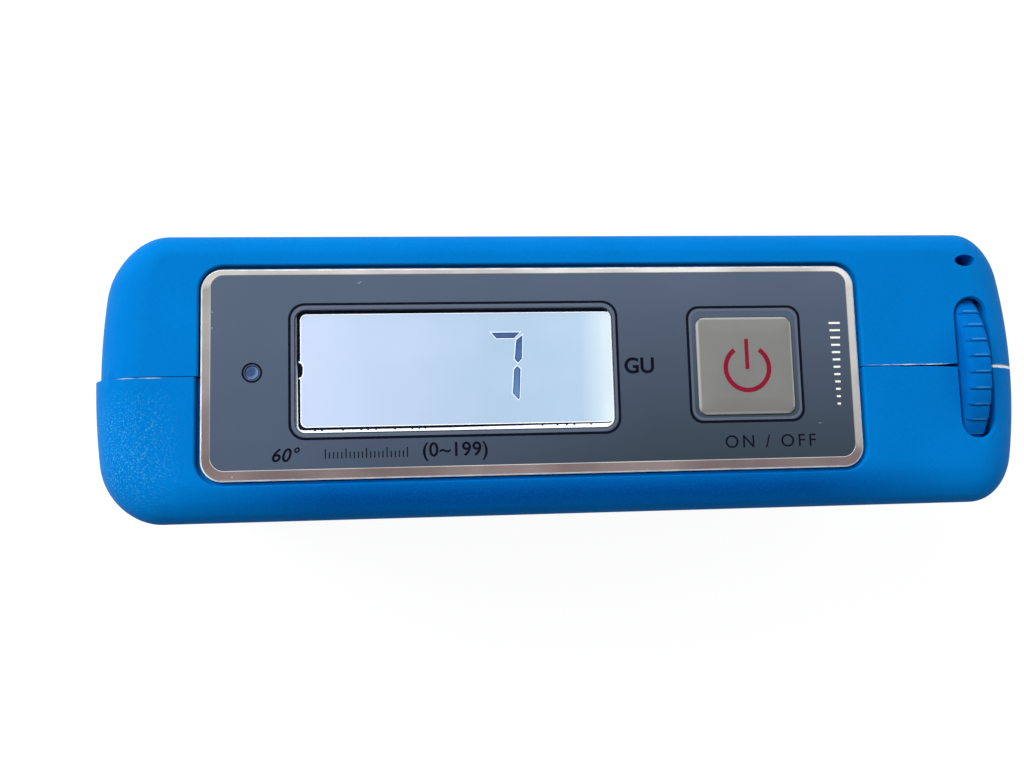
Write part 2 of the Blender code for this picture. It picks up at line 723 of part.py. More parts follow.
# Indicator: a short light pipe over its lamp on the board
rod(
    "indicator_pipe",
    (INDICATOR_X, INDICATOR_Y, BOARD_TOP + 0.0013),
    (INDICATOR_X, INDICATOR_Y, PANEL_TOP - 0.0001),
    INDICATOR_RADIUS,
    INDICATOR,
)
box(
    "indicator_lamp",
    (INDICATOR_X - 0.0016, INDICATOR_Y - 0.0008, BOARD_TOP + CLEAR),
    (INDICATOR_X + 0.0016, INDICATOR_Y + 0.0008, BOARD_TOP + 0.0010),
    BACKLIGHT,
)

# Key: a pillowed cap with a flange under the ledge, on the plunger of its switch
key_top = PANEL_TOP + KEY_PROUD
flange_top = CEILING - CLEAR
flange_low = flange_top - KEY_FLANGE_THICK
switch_top = BOARD_TOP + CLEAR + SWITCH_HEIGHT
plunger_top = switch_top + PLUNGER_DEPTH
cap = rounded(KEY_SIZE, KEY_SIZE, KEY_CORNER)
flange = rounded(KEY_SIZE + 2 * KEY_FLANGE, KEY_SIZE + 2 * KEY_FLANGE, KEY_CORNER)
shoulder = rounded(KEY_SIZE - 0.0005, KEY_SIZE - 0.0005, KEY_CORNER - 0.0002)
crown = rounded(KEY_SIZE - 0.0018, KEY_SIZE - 0.0018, KEY_CORNER - 0.0003)
power_button = loft(
    "power_button",
    [
        level(flange, KEY_X, KEY_Y, flange_low),
        level(flange, KEY_X, KEY_Y, flange_top),
        level(cap, KEY_X, KEY_Y, flange_top),
        level(cap, KEY_X, KEY_Y, key_top - 0.0006),
        level(shoulder, KEY_X, KEY_Y, key_top - 0.0002),
        level(crown, KEY_X, KEY_Y, key_top),
    ],
    SILVER,
)
join(
    power_button,
    rod("key_stem", (KEY_X, KEY_Y, plunger_top + CLEAR), (KEY_X, KEY_Y, flange_top), KEY_STEM_RADIUS),
)
plunger_low = switch_top - KEY_TRAVEL - CLEAR
rod("switch_plunger", (KEY_X, KEY_Y, plunger_low), (KEY_X, KEY_Y, plunger_top), PLUNGER_RADIUS, BLACK)
half = SWITCH_SIZE / 2
tact_switch = box(
    "tact_switch",
    (KEY_X - half, KEY_Y - half, BOARD_TOP + CLEAR),
    (KEY_X + half, KEY_Y + half, switch_top),
    BLACK,
)
well_low = (KEY_X, KEY_Y, plunger_low - KEY_TRAVEL - CLEAR)
well_high = (KEY_X, KEY_Y, switch_top + THROUGH)
cut(tact_switch, rod("switch_well", well_low, well_high, PLUNGER_RADIUS + CLEAR))

# Main board under the display, screwed up to the posts that hang from the housing's roof
board_y = BOARD_WIDTH / 2
main_board = box(
    "main_board", (BOARD_LEFT, -board_y, BOARD_BOTTOM), (BOARD_RIGHT, board_y, BOARD_TOP), BOARD
)
for i, side in enumerate((-1, 1)):
    x = board_post_x[i]
    y = side * board_post_y
    low = (x, y, BOARD_BOTTOM - THROUGH)
    high = (x, y, BOARD_TOP + THROUGH)
    cut(main_board, rod(f"board_hole_{i}", low, high, SCREW_RADIUS + CLEAR, segments=16))
    seat = (x, y, BOARD_BOTTOM - CLEAR)
    screw(
        f"board_screw_{i + 1}",
        seat,
        (0, 0, 1),
        BOARD_SCREW_LENGTH,
        SCREW_RADIUS,
        HEAD_RADIUS,
        HEAD_HEIGHT,
        STEEL,
        segments=10,
    )
box(
    "processor",
    (WINDOW_X - CHIP_SIZE / 2, -CHIP_SIZE / 2, BOARD_BOTTOM - CLEAR - CHIP_THICK),
    (WINDOW_X + CHIP_SIZE / 2, CHIP_SIZE / 2, BOARD_BOTTOM - CLEAR),
    BLACK,
)


def wheel_ring(x, radius, depth):
    """One ring of the thumbwheel's edge, with its ribs, in the wheel's own frame."""
    points = []
    for rib in range(WHEEL_RIBS):
        for share, drop in ((0.0, 1.0), (0.35, 0.35), (0.75, 0.0), (0.92, 0.05)):
            angle = math.tau * (rib + share) / WHEEL_RIBS
            reach = radius - depth * drop
            points.append((x, reach * math.cos(angle), reach * math.sin(angle)))
    return points


# Thumbwheel: a smooth shoulder on its left, ribs to its right, on the potentiometer's shaft
thick = WHEEL_THICK / 2
edge = 0.0003
wheel = loft(
    "calibration_wheel",
    [
        wheel_ring(-thick, WHEEL_RADIUS - 0.0009, 0.0),
        wheel_ring(-thick + edge, WHEEL_RADIUS - 0.0003, 0.0),
        wheel_ring(-thick + WHEEL_SHOULDER, WHEEL_RADIUS, WHEEL_RIB_DEPTH),
        wheel_ring(thick - edge, WHEEL_RADIUS, WHEEL_RIB_DEPTH),
        wheel_ring(thick, WHEEL_RADIUS - 0.0004, WHEEL_RIB_DEPTH),
    ],
    BLUE_WHEEL,
)
wheel.location = (WHEEL_X, WHEEL_Y, WHEEL_Z)
axle = (WHEEL_Y, WHEEL_Z)
wheel_face = WHEEL_X + WHEEL_THICK / 2
cut(wheel, rod("wheel_bore", (POT_FRONT, *axle), (wheel_face + THROUGH, *axle), SHAFT_RADIUS + CLEAR))
shaft = rod(
    "pot_shaft",
    (POT_BACK + POT_FLOOR, *axle),
    (wheel_face - CLEAR, *axle),
    SHAFT_RADIUS,
    BLACK_ANODISED,
)
hinge_at(shaft, (WHEEL_X, *axle))
pot_body = rod("pot_body", (POT_BACK, *axle), (POT_FRONT, *axle), POT_RADIUS, POT_CASE, segments=32)
shaft_back = POT_BACK + POT_FLOOR - CLEAR
cut(pot_body, rod("pot_bore", (shaft_back, *axle), (POT_FRONT + THROUGH, *axle), SHAFT_RADIUS + CLEAR))
box(
    "pot_board",
    (POT_BOARD_BACK, WHEEL_Y - POT_BOARD_WIDTH / 2, WHEEL_Z - POT_BOARD_HEIGHT / 2),
    (POT_BOARD_BACK + POT_BOARD_THICK, WHEEL_Y + POT_BOARD_WIDTH / 2, WHEEL_Z + POT_BOARD_HEIGHT / 2),
    BOARD,
)


def beam(side, along, across=0.0, y=0.0):
    """A point by its distance along one light path from the spot that is measured."""
    x = along * math.cos(RISE) - across * math.sin(RISE)
    z = along * math.sin(RISE) + across * math.cos(RISE)
    return Vector((side * x, y, z))


def beam_box(name, side, start, end, half_across, half_y, material=None):
    """A box square to a light path."""
    rings = []
    for along in (start, end):
        ring = []
        for across, y in ((-1, -1), (1, -1), (1, 1), (-1, 1)):
            ring.append(beam(side, along, across * half_across, y * half_y))
        rings.append(ring)
    return loft(name, rings, material)


# Optics block: the foot and both light tubes are one moulding
optics_block = loft(
    "optics_block",
    [
        level(rounded(FOOT_LENGTH - 0.0008, FOOT_WIDTH - 0.0008, FOOT_CORNER - 0.0004), 0, 0, 0.0),
        level(rounded(FOOT_LENGTH, FOOT_WIDTH, FOOT_CORNER), 0, 0, 0.0004),
        level(rounded(FOOT_LENGTH, FOOT_WIDTH, FOOT_CORNER), 0, 0, FOOT_THICK),
    ],
    BLACK_ANODISED,
)
arm = ARM_SIZE / 2
crown_x = ARM_START * math.cos(RISE) + arm * 0.3
crown_z = ARM_START * math.sin(RISE) + arm * 0.8
join(
    optics_block,
    box(
        "optics_middle",
        (-crown_x, -arm + 0.0004, FOOT_THICK / 2),
        (crown_x, arm - 0.0004, crown_z),
    ),
)
for side, word in ((-1, "left"), (1, "right")):
    web_out = ARM_LENGTH * math.cos(RISE) + arm * math.sin(RISE) * 0.6
    web_top = beam(1, ARM_LENGTH, -arm).z + 0.0004
    web = [(ARM_START, FOOT_THICK / 2), (web_out, FOOT_THICK / 2), (web_out, web_top)]
    rings = []
    for y in (-WEB_THICK / 2, WEB_THICK / 2):
        rings.append([(side * x, y, z) for x, z in web])
    join(
        optics_block,
        beam_box(f"arm_{word}", side, ARM_START, ARM_LENGTH, arm, arm),
        loft(f"web_{word}", rings),
    )
for side, word in ((-1, "left"), (1, "right")):
    past = ARM_LENGTH + THROUGH
    start = beam(side, -0.0060)
    cut(
        optics_block,
        rod(f"narrow_bore_{word}", start, beam(side, past), NARROW_RADIUS, segments=32),
        rod(f"wide_bore_{word}", beam(side, LENS_SEAT), beam(side, past), BORE_RADIUS, segments=32),
        solver="MANIFOLD",
    )
    for i, sign in enumerate((-1, 1)):
        offset = sign * SMALL_SCREW_OFFSET
        low = beam(side, ARM_LENGTH + END_BOARD_THICK - SMALL_SCREW_LENGTH - 0.0006, offset, offset)
        high = beam(side, past, offset, offset)
        tool = rod(f"arm_hole_{word}_{i}", low, high, SMALL_SCREW_RADIUS + CLEAR, segments=12)
        cut(optics_block, tool, solver="MANIFOLD")
aperture = slab(
    "aperture", APERTURE_LENGTH, APERTURE_WIDTH, 0.0020, (0.0, 0.0), -THROUGH, FOOT_THICK * 2
)
cut(optics_block, aperture, solver="MANIFOLD")
head_room = HEAD_HEIGHT + 0.0004
for way in (-1, 1):
    for side in (-1, 1):
        x = way * FOOT_SCREW_X
        y = side * FOOT_SCREW_Y
        word = f"{'right' if way > 0 else 'left'}_{'rear' if side > 0 else 'front'}"
        cut(
            optics_block,
            rod(
                f"foot_hole_{word}",
                (x, y, -THROUGH),
                (x, y, FOOT_THICK + THROUGH),
                SCREW_RADIUS + CLEAR,
                segments=16,
            ),
            rod(f"foot_seat_{word}", (x, y, -THROUGH), (x, y, head_room), HEAD_RADIUS + CLEAR),
            solver="MANIFOLD",
        )
        screw(
            f"foot_screw_{word}",
            (x, y, head_room - 0.0002),
            (0, 0, 1),
            FOOT_SCREW_LENGTH,
            SCREW_RADIUS,
            HEAD_RADIUS,
            HEAD_HEIGHT,
            STEEL,
        )

# What sits in the two light tubes: the source side on the left, the receiver on the right
glass_radius = BORE_RADIUS - CLEAR
for side, word in ((-1, "source"), (1, "receiver")):
    way = beam(side, 1.0)
    steps = 4
    bulge = []
    for step in range(steps + 1):
        angle = math.radians(90) * step / steps
        bulge.append((glass_radius * math.sin(angle), LENS_EDGE + LENS_BULGE * math.cos(angle)))
    profile = bulge + [(glass_radius, 0.0), (0.0, 0.0)]
    place = facing(beam(side, LENS_SEAT + CLEAR), way)
    turned(f"{word}_lens", profile, place, OPTIC_GLASS, segments=20)
    slit = rod(
        f"{word}_slit",
        beam(side, SLIT_SEAT),
        beam(side, SLIT_SEAT + SLIT_THICK),
        glass_radius,
        BLACK,
    )
    wide = SLIT_WIDTH / 2
    tall = SLIT_LENGTH / 2
    tool = beam_box(
        f"{word}_slit_cut", side, SLIT_SEAT - THROUGH, SLIT_SEAT + SLIT_THICK + THROUGH, wide, tall
    )
    cut(slit, tool)
    near = ARM_LENGTH + CLEAR
    board = beam_box(f"{word}_board", side, near, near + END_BOARD_THICK, arm, arm, BOARD)
    for i, sign in enumerate((-1, 1)):
        offset = sign * SMALL_SCREW_OFFSET
        low = beam(side, ARM_LENGTH - THROUGH, offset, offset)
        high = beam(side, near + END_BOARD_THICK + THROUGH, offset, offset)
        cut(board, rod(f"{word}_board_hole_{i}", low, high, SMALL_SCREW_RADIUS + CLEAR, segments=12))
        screw(
            f"{word}_screw_{i + 1}",
            beam(side, near + END_BOARD_THICK + CLEAR, offset, offset),
            -way,
            SMALL_SCREW_LENGTH,
            SMALL_SCREW_RADIUS,
            SMALL_HEAD_RADIUS,
            SMALL_HEAD_HEIGHT,
            STEEL,
            segments=8,
        )
lamp_profile = [(0.0, LAMP_HEIGHT)]
for step in range(1, 5):
    angle = math.radians(90) * step / 4
    dome = LAMP_HEIGHT - LAMP_RADIUS + LAMP_RADIUS * math.cos(angle)
    lamp_profile.append((LAMP_RADIUS * math.sin(angle), dome))
lamp_rim = LAMP_RADIUS + 0.0004
lamp_profile += [(LAMP_RADIUS, 0.0010), (lamp_rim, 0.0010), (lamp_rim, 0.0), (0.0, 0.0)]
lamp_place = facing(beam(-1, ARM_LENGTH), -beam(-1, 1.0))
turned("source_lamp", lamp_profile, lamp_place, OPTIC_GLASS, segments=20)
sensor_profile = [
    (0.0, SENSOR_HEIGHT - 0.0003),
    (SENSOR_RADIUS * 0.55, SENSOR_HEIGHT - 0.0003),
    (SENSOR_RADIUS * 0.6, SENSOR_HEIGHT),
    (SENSOR_RADIUS, SENSOR_HEIGHT),
    (SENSOR_RADIUS, 0.0007),
    (SENSOR_RADIUS + 0.0004, 0.0007),
    (SENSOR_RADIUS + 0.0004, 0.0),
    (0.0, 0.0),
]
sensor_place = facing(beam(1, ARM_LENGTH), -beam(1, 1.0))
turned("receiver_sensor", sensor_profile, sensor_place, CONTACT, segments=20)

# Battery, its cradle and contacts
cell_right = CELL_X + CELL_LENGTH / 2
cell_left = CELL_X - CELL_LENGTH / 2
cell_profile = [
    (0.0, CELL_LENGTH),
    (CELL_NUB_RADIUS, CELL_LENGTH),
    (CELL_NUB_RADIUS, CELL_LENGTH - CELL_NUB),
    (CELL_RADIUS - 0.0006, CELL_LENGTH - CELL_NUB),
    (CELL_RADIUS, CELL_LENGTH - CELL_NUB - 0.0006),
    (CELL_RADIUS, 0.0005),
    (CELL_RADIUS - 0.0005, 0.0),
    (0.0, 0.0),
]
turned("battery", cell_profile, facing((cell_left, CELL_Y, CELL_Z), (1, 0, 0)), CELL_SLEEVE)
well_left = cell_left - SPRING_SPACE
well_right = cell_right + PLATE_SPACE
well_radius = CELL_RADIUS + CLEAR
outer = well_radius + CRADLE_WALL
battery_cradle = box(
    "battery_cradle",
    (well_left - CRADLE_WALL, CELL_Y - outer, CELL_Z - outer),
    (well_right + CRADLE_WALL, CELL_Y + CRADLE_RISE, CELL_Z + outer),
    BLACK,
)
trough = []
for step in range(17):
    angle = math.radians(180) * step / 16
    trough.append((-well_radius * math.sin(angle), well_radius * math.cos(angle)))
trough = [(CRADLE_RISE + THROUGH, well_radius)] + trough + [(CRADLE_RISE + THROUGH, -well_radius)]
rings = []
for x in (well_left, well_right):
    rings.append([(x, CELL_Y + y, CELL_Z + z) for y, z in trough])
cut(battery_cradle, loft("cradle_trough", rings))

curve = bpy.data.curves.new("battery_spring", "CURVE")
curve.dimensions = "3D"
curve.bevel_depth = SPRING_WIRE
curve.bevel_resolution = 1
curve.use_fill_caps = True
coil = curve.splines.new("POLY")
coil_steps = int(SPRING_TURNS * 10)
coil.points.add(coil_steps)
coil_start = well_left + SPRING_WIRE + CLEAR
coil_length = SPRING_SPACE - 2 * (SPRING_WIRE + CLEAR)
for step in range(coil_steps + 1):
    share = step / coil_steps
    angle = math.tau * SPRING_TURNS * share
    radius = SPRING_RADIUS - SPRING_TAPER * share
    y = CELL_Y + radius * math.cos(angle)
    z = CELL_Z + radius * math.sin(angle)
    coil.points[step].co = (coil_start + coil_length * share, y, z, 1.0)
spring = bpy.data.objects.new("battery_spring", curve)
PARTS.objects.link(spring)
curve.materials.append(CONTACT)
half = PLATE_SIZE / 2
box(
    "battery_plate",
    (well_right - CLEAR - PLATE_THICK, CELL_Y - half * 0.8, CELL_Z - half),
    (well_right - CLEAR, CELL_Y + half * 0.8, CELL_Z + half),
    CONTACT,
)

# Battery door: a flush plate with two hooks at its left end and a latch tongue at its right
battery_door = plate_y(
    "battery_door",
    DOOR_LENGTH,
    DOOR_HEIGHT,
    DOOR_CORNER,
    (CELL_X, CELL_Z),
    DOOR_OUT - DOOR_THICK,
    DOOR_OUT,
    BLUE,
)
hook_top = CAVITY_Y - CLEAR
hook_low = hook_top - HOOK_THICK
inside_door = DOOR_OUT - DOOR_THICK + 0.0004
for i, sign in enumerate((-1, 1)):
    z = CELL_Z + sign * HOOK_SPREAD
    low_z = z - HOOK_WIDTH / 2
    high_z = z + HOOK_WIDTH / 2
    join(
        battery_door,
        box(
            f"hook_{i}",
            (DOOR_LEFT - HOOK_REACH, hook_low, low_z),
            (DOOR_LEFT + HOOK_REACH, hook_top, high_z),
        ),
        box(
            f"hook_root_{i}",
            (DOOR_LEFT + 0.0004, hook_top - HOOK_THICK / 2, low_z + 0.0002),
            (DOOR_LEFT + HOOK_REACH - 0.0002, inside_door, high_z - 0.0002),
        ),
    )
join(
    battery_door,
    box(
        "latch_tongue",
        (DOOR_RIGHT - LATCH_THICK - 0.0004, DOOR_OUT - DOOR_THICK - LATCH_DEPTH, CELL_Z - LATCH_WIDTH / 2),
        (DOOR_RIGHT - 0.0004, inside_door, CELL_Z + LATCH_WIDTH / 2),
    ),
)
scoop_x = DOOR_RIGHT - SCOOP_INSET
scoop_y = DOOR_OUT + SCOOP_RADIUS - SCOOP_DEPTH
scoop_half = LATCH_WIDTH / 2
cut(
    battery_door,
    rod(
        "thumb_scoop",
        (scoop_x, scoop_y, CELL_Z - scoop_half),
        (scoop_x, scoop_y, CELL_Z + scoop_half),
        SCOOP_RADIUS,
        segments=64,
    ),
)

# Case screws, driven in from the rear
for i, (x, z) in enumerate(case_screws):
    screw(
        f"case_screw_{i + 1}",
        (x, head_seat_y + CLEAR, z),
        (0, -1, 0),
        CASE_SCREW_LENGTH,
        SCREW_RADIUS,
        HEAD_RADIUS,
        HEAD_HEIGHT,
        STEEL,
    )
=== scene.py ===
"""Looks of the pocket gloss meter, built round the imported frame. Metres, in the frame's own axes."""
import json
import math

import bmesh
import bpy
from mathutils import Matrix, Vector


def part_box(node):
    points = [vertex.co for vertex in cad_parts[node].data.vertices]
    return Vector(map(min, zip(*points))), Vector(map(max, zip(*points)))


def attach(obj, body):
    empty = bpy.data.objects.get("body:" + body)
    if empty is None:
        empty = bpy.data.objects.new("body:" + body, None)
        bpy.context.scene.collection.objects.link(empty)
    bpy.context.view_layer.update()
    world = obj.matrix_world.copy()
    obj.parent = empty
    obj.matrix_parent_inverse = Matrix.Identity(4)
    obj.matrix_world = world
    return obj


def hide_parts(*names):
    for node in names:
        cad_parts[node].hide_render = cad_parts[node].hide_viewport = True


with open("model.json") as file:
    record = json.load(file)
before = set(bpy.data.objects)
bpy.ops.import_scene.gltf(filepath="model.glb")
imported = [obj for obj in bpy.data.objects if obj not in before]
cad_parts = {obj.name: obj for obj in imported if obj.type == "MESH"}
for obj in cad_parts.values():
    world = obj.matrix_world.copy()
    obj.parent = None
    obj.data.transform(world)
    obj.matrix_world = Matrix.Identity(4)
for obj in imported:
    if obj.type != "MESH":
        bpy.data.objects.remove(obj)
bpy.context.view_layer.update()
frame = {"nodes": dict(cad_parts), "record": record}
nodes = frame["nodes"]
scene = bpy.context.scene
MM = 0.001

# The form of the housing and the key, as in the CAD model
LENGTH = 114.0 * MM
WIDTH = 33.8 * MM
HEIGHT = 64.5 * MM
WALL = 2.2 * MM
TOP_WALL = 3.4 * MM
BASE_WALL = 2.0 * MM
BASE_REVEAL = 0.5 * MM
BASE_EDGE = 1.0 * MM
CORNER_LEFT = 8.0 * MM
CORNER_RIGHT = 7.0 * MM
BOW_LEFT = 0.6 * MM
BOW_RIGHT = 1.0 * MM
LEFT_SHY = 0.4 * MM
END_FILLET = 6.5 * MM
SIDE_FILLET = 3.0 * MM
FRONT_CROWN = 5.0 * MM
SEAM_Y = -0.1 * MM
SEAM_GAP = 0.09 * MM
HALF_STEP = 0.55 * MM
FRONT_RECESS_EXTRA = 0.08 * MM
REAR_RECESS_LESS = 0.22 * MM
CORNER_STEPS = 16
FILLET_STEPS = 12
THROUGH = 1.0 * MM
LEAST_CORNER, LEAST_FILLET = 0.6 * MM, 0.5 * MM
UNDER_ROOF = HEIGHT - TOP_WALL - THROUGH
SLOT_LONG = 17.25 * MM
KEY_SIZE = 11.8 * MM
KEY_SQUARE = (KEY_SIZE, KEY_SIZE)

# Room round what the housing takes in, how far edges are eased, and how much further each screw is turned
ROOM = 0.6 * MM
SHELL_EASE, CAD_EASE = 0.14 * MM, 0.12 * MM
SCREW_TURN = 37

# Prints on the faceplate, each a hair proud of it
INK = 0.02 * MM
TICKS = 21
TICK_PITCH = 0.47 * MM
TICK_START = (-29.4 * MM, -9.85 * MM)
LEVEL_LINES = 12
LEVEL_TOP = (32.15 * MM, 5.3 * MM)
LEVEL_RUN = 9.9 * MM
LEVEL_TAPER = 0.72

# Light: the housing's gloss, the softboxes, the sky and the floor, and what mirrors see from front to rear
HOUSING_SPECULAR = 0.012
KEY_POWER = 3.7
FILL_POWER = 0.5
SKY_REAR, SKY_FRONT = 0.6, 0.06
FLOOR_WHITE = 0.88
FLOOR_SHINE = 1.08
MIRRORED = (
    (0.0, (0.95, 0.95, 0.95)), (0.19, (0.95, 0.95, 0.95)), (0.24, (0.33, 0.26, 0.27)),
    (0.5, (0.31, 0.25, 0.26)), (0.575, (0.5, 0.5, 0.5)), (0.64, (0.98, 0.98, 0.98)),
)
MIRRORED_LEAN = 0.1


def place_of(node):
    """The low corner, the high corner and the middle of a node."""
    low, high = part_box(node)
    return low, high, (low + high) / 2


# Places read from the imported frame
plate_low, plate_high, PLATE_MID = place_of("faceplate")
key_low, key_high, KEY_MID = place_of("power_button")
pane_low, pane_high, PANE_MID = place_of("display_window")
wheel_low, wheel_high, WHEEL_MID = place_of("calibration_wheel")
pipe_low, pipe_high, PIPE_MID = place_of("indicator_pipe")
foot_low, foot_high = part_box("optics_block")
PLATE_TOP = plate_high.z
PLATE_SIZE = (plate_high.x - plate_low.x, plate_high.y - plate_low.y)
WHEEL_RADIUS = (wheel_high.z - wheel_low.z) / 2
WHEEL_HALF = (wheel_high.x - wheel_low.x) / 2
PIPE_RADIUS = (pipe_high.x - pipe_low.x) / 2
WINDOW = (pane_high.x - pane_low.x, pane_high.y - pane_low.y)
SLOT_X = (wheel_low.x - 0.3 * MM, wheel_high.x + 0.95 * MM)


# Meshes


def shown(name, data):
    """A new object in the scene, at the origin."""
    piece = bpy.data.objects.new(name, data)
    scene.collection.objects.link(piece)
    return piece


def keep(name, bm):
    """A bmesh as an object, with its faces turned outward."""
    bmesh.ops.recalc_face_normals(bm, faces=bm.faces[:])
    mesh = bpy.data.meshes.new(name)
    bm.to_mesh(mesh)
    bm.free()
    return shown(name, mesh)


def loft(name, rings, hoop=False):
    """A solid through rings of points that all have the same count: capped, or a hoop joined end to end."""
    bm = bmesh.new()
    rows = [[bm.verts.new(point) for point in ring] for ring in rings]
    count = len(rows[0])
    for lower, upper in zip(rows, rows[1:] + (rows[:1] if hoop else [])):
        for i in range(count):
            j = (i + 1) % count
            bm.faces.new((lower[i], lower[j], upper[j], upper[i]))
    if not hoop:
        bm.faces.new(list(reversed(rows[0])))
        bm.faces.new(rows[-1])
    return keep(name, bm)


def rounded(length, width, radius, steps=8):
    """Outline of a rounded rectangle round the origin."""
    points = []
    for turn, (sx, sy) in enumerate(((1, 1), (-1, 1), (-1, -1), (1, -1))):
        cx = sx * (length / 2 - radius)
        cy = sy * (width / 2 - radius)
        for step in range(steps + 1):
            angle = math.radians(90) * (turn + step / steps)
            points.append((cx + radius * math.cos(angle), cy + radius * math.sin(angle)))
    return points


def oval(across, along, count=48):
    """Outline of an oval round the origin, given by its two radii."""
    turns = [math.tau * i / count for i in range(count)]
    return [(across * math.cos(turn), along * math.sin(turn)) for turn in turns]


def wider(size, amount):
    return (size[0] + amount, size[1] + amount)


def level(outline, middle, z):
    """An outline laid flat round a middle, at a height."""
    return [(middle[0] + px, middle[1] + py, z) for px, py in outline]


def slab(name, size, radius, middle, z_low, z_high, steps=8):
    outline = rounded(*size, radius, steps)
    return loft(name, [level(outline, middle, z_low), level(outline, middle, z_high)])


def rod(name, start, end, radius):
    start, end = Vector(start), Vector(end)
    bm = bmesh.new()
    depth = (end - start).length
    bmesh.ops.create_cone(bm, cap_ends=True, segments=48, radius1=radius, radius2=radius, depth=depth)
    turn = (end - start).to_track_quat("Z", "Y").to_matrix().to_4x4()
    bmesh.ops.transform(bm, matrix=Matrix.Translation((start + end) / 2) @ turn, verts=bm.verts)
    return keep(name, bm)


def block(name, low, high):
    low, high = Vector(low), Vector(high)
    bm = bmesh.new()
    bmesh.ops.create_cube(bm, size=1.0)
    bmesh.ops.scale(bm, vec=high - low, verts=bm.verts)
    bmesh.ops.translate(bm, vec=(low + high) / 2, verts=bm.verts)
    return keep(name, bm)


def settle(piece):
    """Apply every modifier of a piece to its mesh."""
    bpy.context.view_layer.update()
    graph = bpy.context.evaluated_depsgraph_get()
    mesh = bpy.data.meshes.new_from_object(piece.evaluated_get(graph))
    piece.modifiers.clear()
    piece.data = mesh
    return piece


def carve(piece, *tools, joined=False):
    """Cut tools away from a piece, or join them to it, and drop the tools."""
    for tool in tools:
        modifier = piece.modifiers.new(tool.name, "BOOLEAN")
        modifier.operation = "UNION" if joined else "DIFFERENCE"
        modifier.solver = "MANIFOLD"
        modifier.object = tool
    settle(piece)
    for tool in tools:
        bpy.data.objects.remove(tool, do_unlink=True)
    return piece


def smooth(piece, angle):
    """Shade a piece smooth, apart from edges sharper than an angle in degrees."""
    piece.data.shade_smooth()
    piece.data.set_sharp_from_angle(angle=math.radians(angle))
    return piece


def soften(piece, width):
    """Round a piece's edges a little and shade it smooth between them."""
    bevel = piece.modifiers.new("edges", "BEVEL")
    bevel.width = width
    bevel.segments = 2
    bevel.limit_method = "ANGLE"
    bevel.angle_limit = math.radians(38)
    bevel.use_clamp_overlap = True
    bevel.miter_outer = "MITER_ARC"
    settle(piece)
    piece.data.shade_smooth()
    weight = piece.modifiers.new("normals", "WEIGHTED_NORMAL")
    weight.mode = "FACE_AREA"
    weight.weight = 80
    weight.keep_sharp = True
    return settle(piece)


def refined(node, width):
    """A cleaned copy of a CAD node, with its edges rounded, that stands for it."""
    piece = shown(node + "_skin", nodes[node].data.copy())
    bm = bmesh.new()
    bm.from_mesh(piece.data)
    bmesh.ops.remove_doubles(bm, verts=bm.verts, dist=0.001 * MM)
    bmesh.ops.dissolve_limit(bm, angle_limit=math.radians(0.6), verts=bm.verts, edges=bm.edges)
    bm.to_mesh(piece.data)
    bm.free()
    return soften(piece, width)


def mount(piece, body, *replaced, slot=None):
    """Let a piece ride on a body and stand for its CAD nodes; slot is not used."""
    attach(piece, body)
    if replaced:
        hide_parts(*replaced)


def dress(piece, material, body, *replaced, slot=None):
    """Give a piece its finish and mount it."""
    piece.data.materials.clear()
    piece.data.materials.append(material)
    mount(piece, body, *replaced, slot=slot)


# Node trees


class Nodes:
    """A node tree, with short ways to add to it."""

    def __init__(self, tree):
        self.tree = tree

    def add(self, kind, **settings):
        node = self.tree.nodes.new(kind)
        for key, value in settings.items():
            setattr(node, key, value)
        return node

    def link(self, source, target):
        self.tree.links.new(source, target)

    def feed(self, socket, value):
        """Set a socket to a number or a colour, or link an output to it."""
        if isinstance(value, (int, float)):
            socket.default_value = value
        elif isinstance(value, tuple):
            socket.default_value = (*value, 1.0)
        else:
            self.link(value, socket)

    def math(self, operation, first, second=0.0):
        node = self.add("ShaderNodeMath", operation=operation)
        for socket, value in zip(node.inputs, (first, second)):
            self.feed(socket, value)
        return node.outputs[0]

    def product(self, *factors):
        total = factors[0]
        for factor in factors[1:]:
            total = self.math("MULTIPLY", total, factor)
        return total

    def line(self, value, factor, start):
        """A value times a factor, added to a start."""
        return self.math("ADD", self.product(value, factor), start)

    def join_xyz(self, *values):
        node = self.add("ShaderNodeCombineXYZ")
        for socket, value in zip(node.inputs, values):
            self.feed(socket, value)
        return node.outputs[0]

    def split_xyz(self, vector):
        node = self.add("ShaderNodeSeparateXYZ")
        self.link(vector, node.inputs[0])
        return node.outputs

    def ramp(self, factor, *stops):
        """Colours along a factor."""
        node = self.add("ShaderNodeValToRGB")
        elements = node.color_ramp.elements
        while len(elements) < len(stops):
            elements.new(0.5)
        for element, (position, colour) in zip(elements, stops):
            element.position = position
            element.color = (*colour, 1.0)
        self.link(factor, node.inputs["Fac"])
        return node.outputs["Color"]

    def spread(self, factor, low, high, start=0.3, end=0.7, **settings):
        """A factor that runs from start to end, mapped to run from low to high."""
        node = self.add("ShaderNodeMapRange", **settings)
        for socket, value in (("From Min", start), ("From Max", end), ("To Min", low), ("To Max", high)):
            node.inputs[socket].default_value = value
        self.link(factor, node.inputs["Value"])
        return node.outputs["Result"]

    def within(self, value, low, high, edge):
        """1 between two values, fading out over an edge on each side."""
        rise = self.spread(value, 0.0, 1.0, low - edge, low + edge)
        fall = self.spread(value, 1.0, 0.0, high - edge, high + edge)
        return self.product(rise, fall)

    def mix(self, factor, first, second):
        node = self.add("ShaderNodeMix", data_type="RGBA")
        for socket, value in ((0, factor), (6, first), (7, second)):
            self.feed(node.inputs[socket], value)
        return node.outputs[2]


